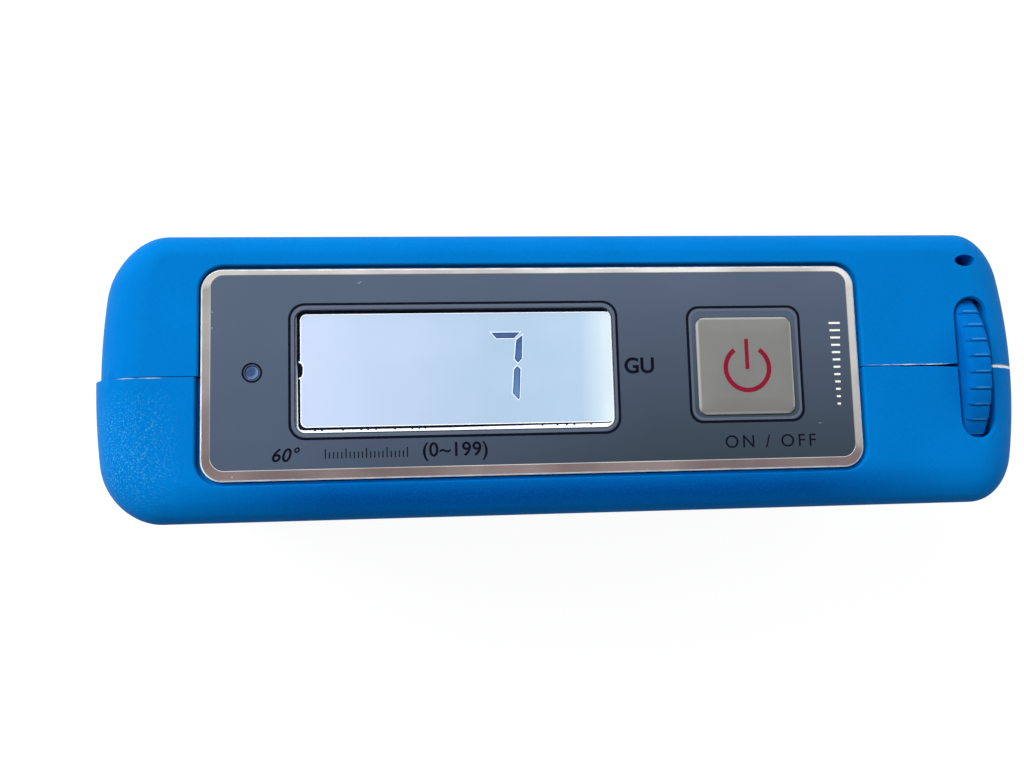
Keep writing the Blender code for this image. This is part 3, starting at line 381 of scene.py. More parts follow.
class Repeat(Nodes):
    """A Geometry Nodes tree that sets copies of one mesh at points, realised and given a material."""

    def __init__(self, name, count_name):
        super().__init__(bpy.data.node_groups.new(name, "GeometryNodeTree"))
        face = self.tree.interface
        face.new_socket("Geometry", in_out="INPUT", socket_type="NodeSocketGeometry")
        self.sockets = {}
        for label, kind in ((count_name, "Int"), ("Form", "Object"), ("Finish", "Material")):
            socket = face.new_socket(label, in_out="INPUT", socket_type="NodeSocket" + kind)
            self.sockets[label] = socket.identifier
        face.new_socket("Geometry", in_out="OUTPUT", socket_type="NodeSocketGeometry")
        inputs = self.add("NodeGroupInput").outputs
        self.points = self.add("GeometryNodePoints")
        self.link(inputs[count_name], self.points.inputs["Count"])
        self.index = self.add("GeometryNodeInputIndex").outputs[0]
        self.copies = self.add("GeometryNodeInstanceOnPoints")
        form = self.add("GeometryNodeObjectInfo")
        self.link(inputs["Form"], form.inputs["Object"])
        self.link(form.outputs["Geometry"], self.copies.inputs["Instance"])
        self.link(self.points.outputs[0], self.copies.inputs["Points"])
        whole = self.add("GeometryNodeRealizeInstances")
        self.link(self.copies.outputs[0], whole.inputs[0])
        painted = self.add("GeometryNodeSetMaterial")
        self.link(whole.outputs[0], painted.inputs["Geometry"])
        self.link(inputs["Finish"], painted.inputs["Material"])
        self.link(painted.outputs[0], self.add("NodeGroupOutput").inputs[0])

    def at(self, *place):
        """Where each copy goes."""
        self.link(self.join_xyz(*place), self.points.inputs["Position"])

    def shaped(self, socket, *values):
        """How each copy is turned or scaled."""
        self.link(self.join_xyz(*values), self.copies.inputs[socket])

    def bake(self, name, form, finish, **count):
        """Run the tree and keep its result as a plain mesh."""
        piece = shown(name, bpy.data.meshes.new(name))
        modifier = piece.modifiers.new("repeat", "NODES")
        modifier.node_group = self.tree
        modifier[self.sockets["Form"]] = form
        modifier[self.sockets["Finish"]] = finish
        for label, value in count.items():
            modifier[self.sockets[label]] = value
        settle(piece)
        bpy.data.objects.remove(form, do_unlink=True)
        return piece


class Finish(Nodes):
    """A Principled finish whose colour, roughness and relief come from noise on Object coordinates."""

    def __init__(self, name, **sockets):
        self.material = bpy.data.materials.new(name)
        self.material.use_nodes = True
        super().__init__(self.material.node_tree)
        self.surface = self.tree.nodes["Principled BSDF"]
        self.place = self.add("ShaderNodeTexCoord").outputs["Object"]
        for socket, value in sockets.items():
            self.surface.inputs[socket.replace("_", " ")].default_value = value

    def axes(self):
        return self.split_xyz(self.place)

    def noise(self, size, detail=2.0, stretch=(1, 1, 1), rough=0.5):
        """Noise with grains of a size in metres, stretched along an axis if asked."""
        mapping = self.add("ShaderNodeMapping")
        self.link(self.place, mapping.inputs["Vector"])
        mapping.inputs["Scale"].default_value = [1 / (size * s) for s in stretch]
        noise = self.add("ShaderNodeTexNoise")
        for socket, value in (("Scale", 1.0), ("Detail", detail), ("Roughness", rough)):
            noise.inputs[socket].default_value = value
        self.link(mapping.outputs["Vector"], noise.inputs["Vector"])
        return noise.outputs["Fac"]

    def colour(self, output, glow=None):
        """The colour, which may also glow with a strength."""
        self.link(output, self.surface.inputs["Base Color"])
        if glow is not None:
            self.link(output, self.surface.inputs["Emission Color"])
            self.surface.inputs["Emission Strength"].default_value = glow

    def roughness(self, output):
        self.link(output, self.surface.inputs["Roughness"])

    def bump(self, height, strength, distance):
        node = self.add("ShaderNodeBump")
        node.inputs["Strength"].default_value = strength
        node.inputs["Distance"].default_value = distance
        self.link(height, node.inputs["Height"])
        self.link(node.outputs["Normal"], self.surface.inputs["Normal"])

    def grained(self, roughness, grain, depth):
        """The last touch of moulded plastic: a fine spark-eroded grain in its gloss and relief."""
        self.roughness(self.spread(self.noise(grain * 3, 3), roughness - 0.05, roughness + 0.07))
        self.bump(self.noise(grain, 3, rough=0.6), 0.35, depth)
        return self.material


# Finishes


def srgb(red, green, blue):
    """A colour given as 0 to 255 screen values."""
    def linear(value):
        value /= 255
        return value / 12.92 if value <= 0.04045 else ((value + 0.055) / 1.055) ** 2.4
    return (linear(red), linear(green), linear(blue))


def grained_plastic(name, base, gain, roughness, grain, depth):
    """Moulded plastic: a slight cloudiness of colour over its grain."""
    finish = Finish(name, Roughness=roughness, IOR=1.5)
    low = tuple(value * (1 - gain) for value in base)
    high = tuple(min(value * (1 + gain), 1.0) for value in base)
    finish.colour(finish.ramp(finish.noise(9 * MM, 3), (0.3, low), (0.7, high)))
    return finish.grained(roughness, grain, depth)


def mottled(name, size, detail, low, high, stops=(0.3, 0.7), glow=None, **sockets):
    """A finish whose tone drifts between two colours."""
    finish = Finish(name, **sockets)
    finish.colour(finish.ramp(finish.noise(size, detail), (stops[0], low), (stops[1], high)), glow)
    return finish.material


def metal(name, base, roughness):
    finish = Finish(name, Metallic=1.0, Roughness=roughness)
    low = tuple(value * 0.88 for value in base)
    finish.colour(finish.ramp(finish.noise(2 * MM, 3), (0.3, low), (0.7, base)))
    finish.roughness(finish.spread(finish.noise(0.4 * MM, 3), roughness - 0.06, roughness + 0.1))
    finish.bump(finish.noise(0.15 * MM, 3), 0.2, 0.004 * MM)
    return finish.material


def moulded_housing():
    """Blue plastic with grain, with painted shade along its front, painted glints at the front left and a painted
    highlight along the seam.
    """
    finish = Finish(
        "housing_blue", Roughness=0.5, IOR=1.5, Specular_IOR_Level=HOUSING_SPECULAR,
        Coat_Weight=0.02, Coat_Roughness=0.3, Coat_IOR=1.5,
    )
    x, y, z = finish.axes()
    blue = finish.ramp(
        finish.noise(9 * MM, 3), (0.3, srgb(0, 110, 188)), (0.5, srgb(0, 112, 191)), (0.7, srgb(0, 114, 194))
    )
    grain = finish.noise(0.24 * MM, 3, rough=0.6)
    # Painted shade: a darker strip along the front of the top, beside the faceplate.
    painted_front_shade = finish.product(
        finish.within(x, -38.0 * MM, 37.0 * MM, 9.0 * MM),
        finish.spread(y, 1.0, 0.0, -14.2 * MM, -11.2 * MM),
        finish.spread(z, 0.0, 1.0, HEIGHT - 2.4 * MM, HEIGHT - 0.5 * MM),
    )
    blue = finish.mix(finish.product(painted_front_shade, 0.8), blue, srgb(0, 62, 140))
    # Painted glints: pale specks at the front left end stand in for the grain catching the light.
    patch = finish.product(
        finish.within(x, -56.5 * MM, -47.5 * MM, 2.5 * MM), finish.within(y, -14.0 * MM, -3.0 * MM, 2.5 * MM)
    )
    painted_glints = finish.spread(finish.noise(0.19 * MM, 3, rough=0.6), 0.0, 0.5, 0.54, 0.66)
    blue = finish.mix(finish.product(patch, painted_glints), blue, srgb(84, 172, 228))
    blue = finish.mix(finish.spread(grain, 0.0, 0.12, 0.45, 0.7), blue, srgb(0, 150, 225))
    # Painted highlight: pale lines along the seam's edges, broken up by noise, stand in for light caught on the
    # parting line.
    wavy_seam_y = finish.line(finish.noise(0.5 * MM, 4), 0.14 * MM, y)
    near_top = finish.spread(z, 0.0, 1.0, HEIGHT - 0.9 * MM, HEIGHT - 0.5 * MM)
    upper = finish.spread(z, 0.0, 1.0, HEIGHT - 5.0 * MM, HEIGHT - 3.5 * MM)
    fine = 0.02 * MM
    seam = SEAM_Y + 0.07 * MM
    right_end = finish.product(
        finish.within(x, 51.3 * MM, 57.2 * MM, 0.3 * MM),
        finish.within(wavy_seam_y, seam - 0.36 * MM, seam + 0.05 * MM, fine),
    )
    middle = finish.product(
        finish.within(x, 37.0 * MM, 47.0 * MM, 1.5 * MM),
        finish.within(wavy_seam_y, seam + 0.08 * MM, seam + 0.165 * MM, fine),
        finish.spread(finish.noise(1.6 * MM, 3), 0.25, 1.0, 0.35, 0.6),
    )
    left_end = finish.product(
        finish.within(x, -54.4 * MM, -47.5 * MM, 0.6 * MM),
        finish.within(wavy_seam_y, seam - 0.16 * MM, seam - 0.04 * MM, fine),
        finish.spread(finish.noise(1.2 * MM, 3), 0.05, 0.4, 0.35, 0.6),
    )
    seam_highlight = finish.product(finish.math("MAXIMUM", middle, left_end), near_top)
    seam_highlight = finish.math("MAXIMUM", seam_highlight, finish.product(right_end, upper))
    finish.colour(finish.mix(seam_highlight, blue, srgb(232, 238, 242)))
    finish.roughness(finish.spread(finish.noise(0.7 * MM, 3), 0.44, 0.56))
    finish.bump(grain, 0.35, 0.02 * MM)
    return finish.material


housing_blue = moulded_housing()


def thumbed_wheel():
    """Blue plastic, with a painted highlight along the crests of the ribs, broken up by noise."""
    finish = Finish("wheel_blue", Roughness=0.46, IOR=1.5, Specular_IOR_Level=HOUSING_SPECULAR)
    _, along, up = finish.axes()
    spokes = [finish.math("SUBTRACT", value, middle) for value, middle in ((along, WHEEL_MID.y), (up, WHEEL_MID.z))]
    squares = [finish.product(value, value) for value in spokes]
    reach = finish.math("SQRT", finish.math("ADD", *squares))
    # Painted highlight: the outermost part of each rib is made paler.
    crest_highlight = finish.spread(reach, 0.0, 0.4, WHEEL_RADIUS - 0.022 * MM, WHEEL_RADIUS - 0.008 * MM)
    highlight_breakup = finish.spread(finish.noise(0.8 * MM, 3), 0.4, 1.0, 0.35, 0.6)
    blue = finish.ramp(finish.noise(2 * MM, 3), (0.3, srgb(0, 98, 176)), (0.7, srgb(0, 106, 186)))
    finish.colour(finish.mix(finish.product(crest_highlight, highlight_breakup), blue, srgb(96, 174, 236)))
    return finish.grained(0.46, 0.18 * MM, 0.02 * MM)


wheel_blue = thumbed_wheel()


def slate_finish():
    """Slate film, with painted shade that darkens it towards its front and right, where its reflection falls off."""
    finish = Finish("faceplate_slate", Roughness=0.34, IOR=1.5, Specular_IOR_Level=0.6)
    x, y, _ = finish.axes()
    frontward = finish.spread(y, 1.0, 0.0, -12.0 * MM, 11.0 * MM)
    rightward = finish.spread(x, 0.2, 1.0, -36.0 * MM, 10.0 * MM)
    cloud = finish.ramp(finish.noise(9 * MM, 3), (0.3, srgb(68, 84, 106)), (0.7, srgb(72, 87, 110)))
    # Painted shade: the film is darkened towards its front and right.
    finish.colour(finish.mix(finish.product(frontward, rightward), cloud, srgb(36, 52, 66)))
    return finish.grained(0.34, 0.08 * MM, 0.006 * MM)


slate = slate_finish()


def key_finish():
    """Silver-grey plastic, with a painted highlight along the cap's edges."""
    finish = Finish("key_silver", Roughness=0.36, IOR=1.5)
    across, along, _ = finish.axes()
    offsets = [
        finish.math("ABSOLUTE", finish.math("SUBTRACT", value, middle))
        for value, middle in ((across, KEY_MID.x), (along, KEY_MID.y))
    ]
    reach = finish.math("MAXIMUM", *offsets)
    # Painted highlight: a lighter band round the cap's edges stands in for light caught on its bevels.
    rim = finish.spread(reach, 0.0, 0.75, KEY_SIZE / 2 - 0.34 * MM, KEY_SIZE / 2 - 0.14 * MM)
    silver = finish.ramp(finish.noise(6 * MM, 3), (0.3, srgb(119, 119, 117)), (0.7, srgb(124, 124, 122)))
    finish.colour(finish.mix(rim, silver, srgb(172, 173, 170)))
    finish.roughness(finish.spread(finish.noise(0.3 * MM, 3), 0.3, 0.44))
    finish.bump(finish.noise(0.1 * MM, 3, rough=0.6), 0.35, 0.006 * MM)
    return finish.material


key_silver = key_finish()


def rim_finish():
    """Bright metal from a diamond cut, its tone drifting along the rim."""
    finish = Finish("cut_rim", Metallic=1.0, Roughness=0.14)
    finish.colour(finish.ramp(finish.noise(9 * MM, 2), (0.34, srgb(202, 199, 196)), (0.62, srgb(240, 239, 235))))
    finish.roughness(finish.spread(finish.noise(0.5 * MM, 3, (8, 1, 1)), 0.1, 0.2))
    return finish.material


cut_rim = rim_finish()
# Painted reflection: a pale non-metal finish on the rim's outer edge stands in for the bright line that the metal
# reflects there.
rim_edge = mottled(
    "rim_edge", 2 * MM, 3, srgb(206, 204, 202), srgb(236, 235, 233), (0.35, 0.6),
    Specular_IOR_Level=0.4, Roughness=0.35,
)
ink_black = mottled(
    "ink_black", 0.3 * MM, 2, srgb(4, 5, 20), srgb(14, 16, 38), (0.3, 0.8), Specular_IOR_Level=0.1, Roughness=0.4
)
ink_white = mottled(
    "ink_white", 0.2 * MM, 2, srgb(232, 233, 230), srgb(250, 250, 246), Specular_IOR_Level=0.1, Roughness=0.5
)
nick_pale = mottled(
    "nick_pale", 0.1 * MM, 2, srgb(150, 160, 172), srgb(206, 212, 218), Specular_IOR_Level=0.2, Roughness=0.5
)
ink_crimson = mottled(
    "ink_crimson", 0.25 * MM, 2, srgb(122, 18, 44), srgb(138, 26, 52), Specular_IOR_Level=0.1, Roughness=0.45
)


def display_finish():
    """The lit panel: deeper past its middle, and brightest at its right end."""
    finish = Finish("display_lit", Roughness=0.16, IOR=1.5)
    tones = finish.ramp(
        finish.spread(finish.axes()[0], 0.0, 1.0, -32.3 * MM, 4.4 * MM),
        (0.0, srgb(186, 200, 226)), (0.3, srgb(172, 193, 220)), (0.6, srgb(160, 185, 210)),
        (0.9, srgb(166, 192, 216)), (0.96, srgb(196, 216, 228)), (1.0, srgb(226, 240, 244)),
    )
    drift = finish.spread(finish.noise(7 * MM, 2), 0.0, 0.35)
    finish.colour(finish.mix(drift, tones, srgb(184, 202, 226)), glow=0.1)
    return finish.material


def segment_finish():
    """The digit's segments, paler towards the front."""
    finish = Finish("segment_on", Roughness=0.4, Specular_IOR_Level=0.1)
    frontward = finish.spread(finish.axes()[1], 1.0, 0.0, -3.4 * MM, 4.7 * MM)
    tones = finish.ramp(frontward, (0.0, srgb(66, 86, 136)), (0.5, srgb(80, 108, 158)), (1.0, srgb(104, 136, 182)))
    finish.colour(finish.mix(finish.spread(finish.noise(0.6 * MM, 2), 0.0, 0.3), tones, srgb(92, 122, 172)))
    return finish.material


def indicator_finish():
    """Smoked plastic with a painted highlight, a paler curve at its front right."""
    finish = Finish("indicator_smoke", Roughness=0.12, Specular_IOR_Level=0.3)
    offset = finish.add("ShaderNodeVectorMath", operation="DISTANCE")
    finish.link(finish.place, offset.inputs[0])
    offset.inputs[1].default_value = (PIPE_MID.x - 0.24 * MM, PIPE_MID.y + 0.22 * MM, PLATE_TOP)
    smoke = finish.ramp(finish.noise(0.5 * MM, 2), (0.3, srgb(44, 66, 106)), (0.7, srgb(58, 84, 128)))
    # Painted highlight: the lens is paler in a curve at its front right.
    lens_highlight = finish.spread(offset.outputs["Value"], 0.0, 0.85, 0.6 * MM, 0.95 * MM)
    finish.colour(finish.mix(lens_highlight, smoke, srgb(128, 158, 206)))
    return finish.material


display = display_finish()
light_guide = mottled("light_guide", 1.5 * MM, 2, srgb(240, 244, 248), srgb(255, 255, 255), glow=0.45, Roughness=0.3)
segment_on = segment_finish()
segment_edge = mottled("segment_edge", 1.5 * MM, 2, srgb(34, 52, 92), srgb(48, 66, 108), Roughness=0.3)
segment_halo = mottled(
    "segment_halo", 1.5 * MM, 2, srgb(196, 220, 240), srgb(206, 228, 244), glow=0.16, Roughness=0.3
)
margin_white = mottled(
    "margin_white", 1.5 * MM, 2, srgb(224, 232, 240), srgb(236, 242, 246), glow=0.4, Roughness=0.3
)
band_grey = grained_plastic("band_grey", srgb(84, 96, 114), 0.06, 0.42, 0.08 * MM, 0.004 * MM)
screw_steel = metal("screw_steel", srgb(188, 188, 186), 0.3)
indicator_smoke = indicator_finish()
optic_glass = mottled(
    "optic_glass", 4 * MM, 1, (0.9, 0.95, 0.97), (0.96, 0.98, 0.99),
    Roughness=0.03, IOR=1.52, Transmission_Weight=0.9,
)

# What each material slot of the frame wears
CAD_FINISHES = {
    "housing_blue": housing_blue,
    "wheel_blue": wheel_blue,
    "faceplate_slate": slate,
    "key_silver": key_silver,
    "window_clear": optic_glass,
    "lcd_glass": display,
    "backlight_white": light_guide,
    "black_plastic": grained_plastic("black_plastic", srgb(24, 24, 27), 0.2, 0.5, 0.2 * MM, 0.02 * MM),
    "black_anodised": grained_plastic("black_anodised", srgb(30, 30, 33), 0.15, 0.4, 0.12 * MM, 0.01 * MM),
    "board_green": grained_plastic("board_green", srgb(16, 96, 56), 0.15, 0.35, 0.5 * MM, 0.01 * MM),
    "screw_steel": screw_steel,
    "optic_glass": optic_glass,
    "cell_sleeve": grained_plastic("cell_sleeve", srgb(44, 44, 50), 0.1, 0.3, 0.6 * MM, 0.004 * MM),
    "contact_nickel": metal("contact_nickel", srgb(204, 200, 190), 0.26),
    "pot_case": grained_plastic("pot_case", srgb(26, 64, 112), 0.1, 0.45, 0.2 * MM, 0.01 * MM),
    "indicator_smoke": indicator_smoke,
}
slots = {row["node"]: row["material_slot"] for row in frame["record"]["subparts"]}
for node, material_slot in slots.items():
    if node in nodes:
        mesh = nodes[node].data
        mesh.materials.clear()
        mesh.materials.append(CAD_FINISHES[material_slot])


# Housing


def arc_inset(radius, z, top):
    """How far a fillet of a radius draws in at a height."""
    rise = z - (top - radius)
    return radius - math.sqrt(max(radius**2 - rise**2, 0.0)) if rise > 0 else 0.0


def plan(side, shrink, inset_x, inset_y, seam):
    """Half of the housing's outline from above, from the left seam to the right seam."""
    left = -LENGTH / 2 + LEFT_SHY + (HALF_STEP if side > 0 else 0.0) + shrink + inset_x
    right = LENGTH / 2 - shrink - inset_x
    depth = WIDTH / 2 - shrink - inset_y
    points = []
    for end, corner, bow, way in ((left, CORNER_LEFT, BOW_LEFT, 1), (right, CORNER_RIGHT, BOW_RIGHT, -1)):
        wide = max(corner - shrink - inset_x, LEAST_CORNER)
        deep = max(corner - shrink - inset_y, LEAST_CORNER)
        lean = math.atan(2 * bow / (depth - deep))
        turn = depth - deep * (1 - math.sin(lean))
        run = []
        for step in range(8):
            y = seam + (turn - seam) * step / 8
            run.append((end + way * bow * (max(y, 0.0) / turn) ** 2, y))
        centre = end + way * (bow + wide * math.cos(lean))
        for step in range(CORNER_STEPS + 1):
            angle = lean + (math.radians(90) - lean) * step / CORNER_STEPS
            run.append((centre - way * wide * math.cos(angle), depth - deep + deep * math.sin(angle)))
        points += run if way > 0 else reversed(run)
    return [(x, side * y) for x, y in points]


def half_solid(name, side, shrink, z_low, z_high, seam, edge):
    """One half of the housing's form, shrunk by a wall."""
    end_fillet = END_FILLET - shrink
    side_fillet = max(SIDE_FILLET - shrink, LEAST_FILLET)
    heights = set()
    for fillet in (end_fillet, side_fillet):
        for step in range(FILLET_STEPS + 1):
            angle = math.radians(90) * step / FILLET_STEPS
            heights.add(round(z_high - fillet + fillet * math.sin(angle), 6))
    rings = []
    for step in range(5 if edge else 1):
        angle = math.radians(22.5) * step
        inset = edge * (1 - math.sin(angle))
        rings.append(level(plan(side, shrink, inset, inset, seam), (0, 0), z_low + edge * (1 - math.cos(angle))))
    last = None
    for z in sorted(heights):
        if last is not None and z - last < 0.02 * MM:
            continue
        last = z
        inset_x = arc_inset(end_fillet, z, z_high)
        inset_y = arc_inset(side_fillet, z, z_high) * (FRONT_CROWN / SIDE_FILLET if edge and side < 0 else 1)
        rings.append(level(plan(side, shrink, inset_x, inset_y, seam), (0, 0), z))
    return loft(name, rings)


def slot_form():
    """The thumbwheel's slot, flared at its mouth, and most on its right."""
    rings = []
    for left_grow, right_grow, z in (
        (0.0, 0.0, UNDER_ROOF),
        (0.0, 0.0, HEIGHT - 1.3 * MM),
        (0.0, 0.02 * MM, HEIGHT - 0.7 * MM),
        (0.0, 0.08 * MM, HEIGHT - 0.4 * MM),
        (0.05 * MM, 0.2 * MM, HEIGHT - 0.16 * MM),
        (0.12 * MM, 0.42 * MM, HEIGHT),
        (0.12 * MM, 0.42 * MM, HEIGHT + THROUGH),
    ):
        left, right = SLOT_X[0] - left_grow, SLOT_X[1] + right_grow
        outline = rounded(right - left, SLOT_LONG + left_grow + right_grow, (right - left) * 0.49, 12)
        rings.append(level(outline, ((left + right) / 2, WHEEL_MID.y), z))
    return loft("slot", rings)


def wheel_pocket():
    """A disc a little larger than the wheel, with a rounded rim."""
    reach_out, edge, steps = 14.0 * MM, 2.0 * MM, 5
    rings = []
    for face, way in zip(SLOT_X, (1, -1)):
        half = []
        for step in range(steps + 1):
            angle = math.radians(90) * step / steps
            x = face + way * edge * (1 - math.cos(angle))
            reach = reach_out - edge * (1 - math.sin(angle))
            half.append([(x, WHEEL_MID.y + py, WHEEL_MID.z + pz) for py, pz in oval(reach, reach, 120)])
        rings += half if way > 0 else reversed(half)
    return loft("wheel_pocket", rings)


def recess_form(side, seat):
    """The faceplate's recess: close round the plate low down, a gap above, and a softened mouth."""
    extra = FRONT_RECESS_EXTRA if side < 0 else -REAR_RECESS_LESS
    size = (PLATE_SIZE[0] + 0.9 * MM + extra, PLATE_SIZE[1] + 0.82 * MM)
    middle = (PLATE_MID.x - extra / 2, PLATE_MID.y - 0.04 * MM)
    close = rounded(*wider(PLATE_SIZE, 0.2 * MM), 2.6 * MM, 12)
    step = PLATE_TOP - 0.85 * MM
    rings = [level(close, PLATE_MID, z) for z in (seat, step)]
    for grow, z in (
        (0.0, step), (0.0, HEIGHT - 0.34 * MM), (0.03, HEIGHT - 0.2 * MM), (0.1, HEIGHT - 0.08 * MM),
        (0.24, HEIGHT), (0.24, HEIGHT + THROUGH),
    ):
        wide = grow * 2 * MM
        rings.append(level(rounded(*wider(size, wide), 2.95 * MM + wide / 2, 12), middle, z))
    return loft("recess", rings)


def seam_wedge(end):
    """The parting line opens a little towards the thumbwheel."""
    start = end - 8.0 * MM
    y = SEAM_Y - 0.03 * MM
    low, high = UNDER_ROOF, HEIGHT + THROUGH
    rings = []
    for x, half in ((start, 0.06 * MM), (start + 4.5 * MM, 0.1 * MM), (end, 0.24 * MM)):
        rings.append([(x, y - half, low), (x, y + half, low), (x, y + half, high), (x, y - half, high)])
    return loft("seam_wedge", rings)


def rear_cuts():
    """The strap hole, the battery door's opening and the screws' counterbores."""
    eye_mid = (LENGTH / 2 - 7.5 * MM, WIDTH / 2 - 3.9 * MM)
    eye_low = HEIGHT - 4.2 * MM
    bore_z = eye_low + 1.02 * MM
    cuts = [
        loft("strap_eye", [level(oval(1.4 * MM, 0.73 * MM), eye_mid, z) for z in (eye_low, HEIGHT + THROUGH)]),
        rod("strap_bore", (*eye_mid, bore_z), (eye_mid[0], WIDTH / 2 + THROUGH, bore_z), 0.85 * MM),
    ]
    low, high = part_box("battery_door")
    gap = Vector((0.3 * MM, 0, 0.3 * MM))
    hooks = Vector((1.6 * MM, 0, 0))
    low, high = low + hooks - gap, high + gap
    outline = rounded(high.x - low.x, high.z - low.z, 2.3 * MM)
    middle = (low + high) / 2
    depths = (WIDTH / 2 - 3.2 * MM, WIDTH)
    cuts.append(loft("door_cut", [[(middle.x + px, y, middle.z + pz) for px, pz in outline] for y in depths]))
    for i in range(1, 5):
        centre = place_of(f"case_screw_{i}")[2]
        start = (centre.x, WIDTH / 2 - 8.5 * MM, centre.z)
        cuts.append(rod(f"counterbore_{i}", start, (centre.x, WIDTH, centre.z), 2.1 * MM))
    return cuts


def housing_half(name, side):
    """One moulded half with its openings: side is -1 for the front and 1 for the rear."""
    seam = side * SEAM_Y + SEAM_GAP / 2
    shell = half_solid(name, side, 0.0, BASE_REVEAL, HEIGHT, seam, BASE_EDGE)
    seat = plate_low.z - ROOM / 2
    ledge = seat + THROUGH / 2
    bezel_low, bezel_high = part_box("lcd_frame")
    bezel = wider((bezel_high.x - bezel_low.x, bezel_high.y - bezel_low.y), ROOM)
    foot = wider((foot_high.x - foot_low.x, foot_high.y - foot_low.y), ROOM)
    tools = [
        half_solid("cavity", side, WALL, BASE_REVEAL + BASE_WALL, HEIGHT - TOP_WALL, -THROUGH, 0.0),
        recess_form(side, seat),
        slab("bezel_cut", bezel, 1.5 * MM, PANE_MID, UNDER_ROOF, ledge),
        slab("key_cut", wider(KEY_SQUARE, ROOM), 1.5 * MM, KEY_MID, UNDER_ROOF, ledge),
        rod("pipe_cut", (*PIPE_MID.xy, UNDER_ROOF), (*PIPE_MID.xy, HEIGHT + THROUGH), PIPE_RADIUS + ROOM / 2),
        slot_form(),
        wheel_pocket(),
        slab("foot_cut", foot, 3.3 * MM, (0, 0), -THROUGH, BASE_REVEAL + BASE_WALL + THROUGH),
        seam_wedge(SLOT_X[0] + THROUGH / 2),
    ]
    if side > 0:
        tools += rear_cuts()
    return soften(carve(shell, *tools), SHELL_EASE)


for side, name in ((-1, "shell_front"), (1, "shell_rear")):
    dress(housing_half(name + "_skin", side), housing_blue, "meter", name, slot="housing_blue")

# Faceplate: a slate face inside a bright diamond-cut rim, whose outer edge has a painted reflection in a pale
# non-metal finish
RIM_LEFT, RIM_RIGHT, RIM_REAR, RIM_FRONT = 1.15 * MM, 1.1 * MM, 0.75 * MM, 1.25 * MM
RIM_FOOT = PLATE_TOP - 0.16 * MM
inner = (PLATE_SIZE[0] - RIM_LEFT - RIM_RIGHT, PLATE_SIZE[1] - RIM_REAR - RIM_FRONT)
inner_mid = (PLATE_MID.x + (RIM_LEFT - RIM_RIGHT) / 2, PLATE_MID.y + (RIM_FRONT - RIM_REAR) / 2)
rings = []
for size, radius, middle, z in (
    (PLATE_SIZE, 2.5, PLATE_MID, plate_low.z),
    (PLATE_SIZE, 2.5, PLATE_MID, RIM_FOOT - 0.14 * MM),
    (wider(PLATE_SIZE, -0.04 * MM), 2.48, PLATE_MID, RIM_FOOT - 0.1 * MM),
    (wider(PLATE_SIZE, -0.36 * MM), 2.32, PLATE_MID, RIM_FOOT),
    (wider(inner, 0.14 * MM), 1.67, inner_mid, PLATE_TOP + 0.03 * MM),
    (inner, 1.6, inner_mid, PLATE_TOP),
):
    rings.append(level(rounded(*size, radius * MM, 14), middle, z))
plate = loft("faceplate_skin", rings)
window_hole = (WINDOW[0] + 0.65 * MM, WINDOW[1] + 0.5 * MM)
window_mid = (PANE_MID.x - 0.175 * MM, PANE_MID.y + 0.06 * MM)
span = (plate_low.z - THROUGH, PLATE_TOP + THROUGH)
carve(
    plate,
    slab("window_cut", window_hole, 1.2 * MM, window_mid, *span),
    slab("key_cut", wider(KEY_SQUARE, 0.14 * MM), 1.12 * MM, KEY_MID, *span),
    rod("pipe_cut", (*PIPE_MID.xy, span[0]), (*PIPE_MID.xy, span[1]), PIPE_RADIUS + 0.06 * MM),
)
plate.data.materials.clear()
for material in (slate, cut_rim, rim_edge):
    plate.data.materials.append(material)
for face in plate.data.polygons:
    if 0.3 < face.normal.z < 0.995:
        # The rim's lower, outer strip takes the painted reflection.
        face.material_index = 2 if face.center.z < RIM_FOOT else 1
mount(smooth(plate, 7), "meter", "faceplate", slot="faceplate_slate")


def ring_print(name, size, radius, middle, line, z, material):
    """A printed line round a rounded rectangle, a hair proud of the face."""
    outer = rounded(*wider(size, line), radius + line / 2, 10)
    inside = rounded(*wider(size, -line), radius - line / 2, 10)
    corners = ((outer, z), (outer, z + INK), (inside, z + INK), (inside, z))
    rings = [level(outline, middle, height) for outline, height in corners]
    dress(loft(name, rings, hoop=True), material, "meter")


def flat_print(name, outline, z, material):
    """A printed patch with a straight-edged outline."""
    rings = [[(x, y, z + lift) for x, y in outline] for lift in (0.0, INK)]
    dress(loft(name, rings), material, "meter")


def lettering(name, words, size, middle, weight=0.0, spacing=1.0, slant=0.0):
    """Characters printed on the faceplate, as a thin mesh centred on a point."""
    curve = bpy.data.curves.new(name, "FONT")
    curve.body = words
    curve.size = size
    curve.extrude = INK / 2
    curve.align_x = "CENTER"
    curve.align_y = "CENTER"
    curve.shear = slant
    curve.offset = weight
    curve.space_character = spacing
    holder = shown(name + "_text", curve)
    bpy.context.view_layer.update()
    mesh = bpy.data.meshes.new_from_object(holder.evaluated_get(bpy.context.evaluated_depsgraph_get()))
    bpy.data.objects.remove(holder, do_unlink=True)
    mesh.transform(Matrix.Translation((middle[0], middle[1], PLATE_TOP + INK / 2)))
    dress(shown(name, mesh), ink_black, "meter")


# Printed frames: a grey band under a black line round the window and the key, and one line each elsewhere; beside
# them a painted shadow line round the window's hole
UNDER_INK = PLATE_TOP - INK / 2
FRAME_MID = (20.73 * MM, 0.45 * MM)
WINDOW_SHADOW = (wider(window_hole, 0.09 * MM), 1.25 * MM)
ring_size = 2 * (PIPE_RADIUS + 0.28 * MM)
RING = ((ring_size, ring_size), ring_size / 2 - 0.001 * MM)
ring_print(
    "window_band", (37.86 * MM, 15.05 * MM), 1.65 * MM, (-14.145 * MM, 0.36 * MM), 0.36 * MM, UNDER_INK, band_grey
)
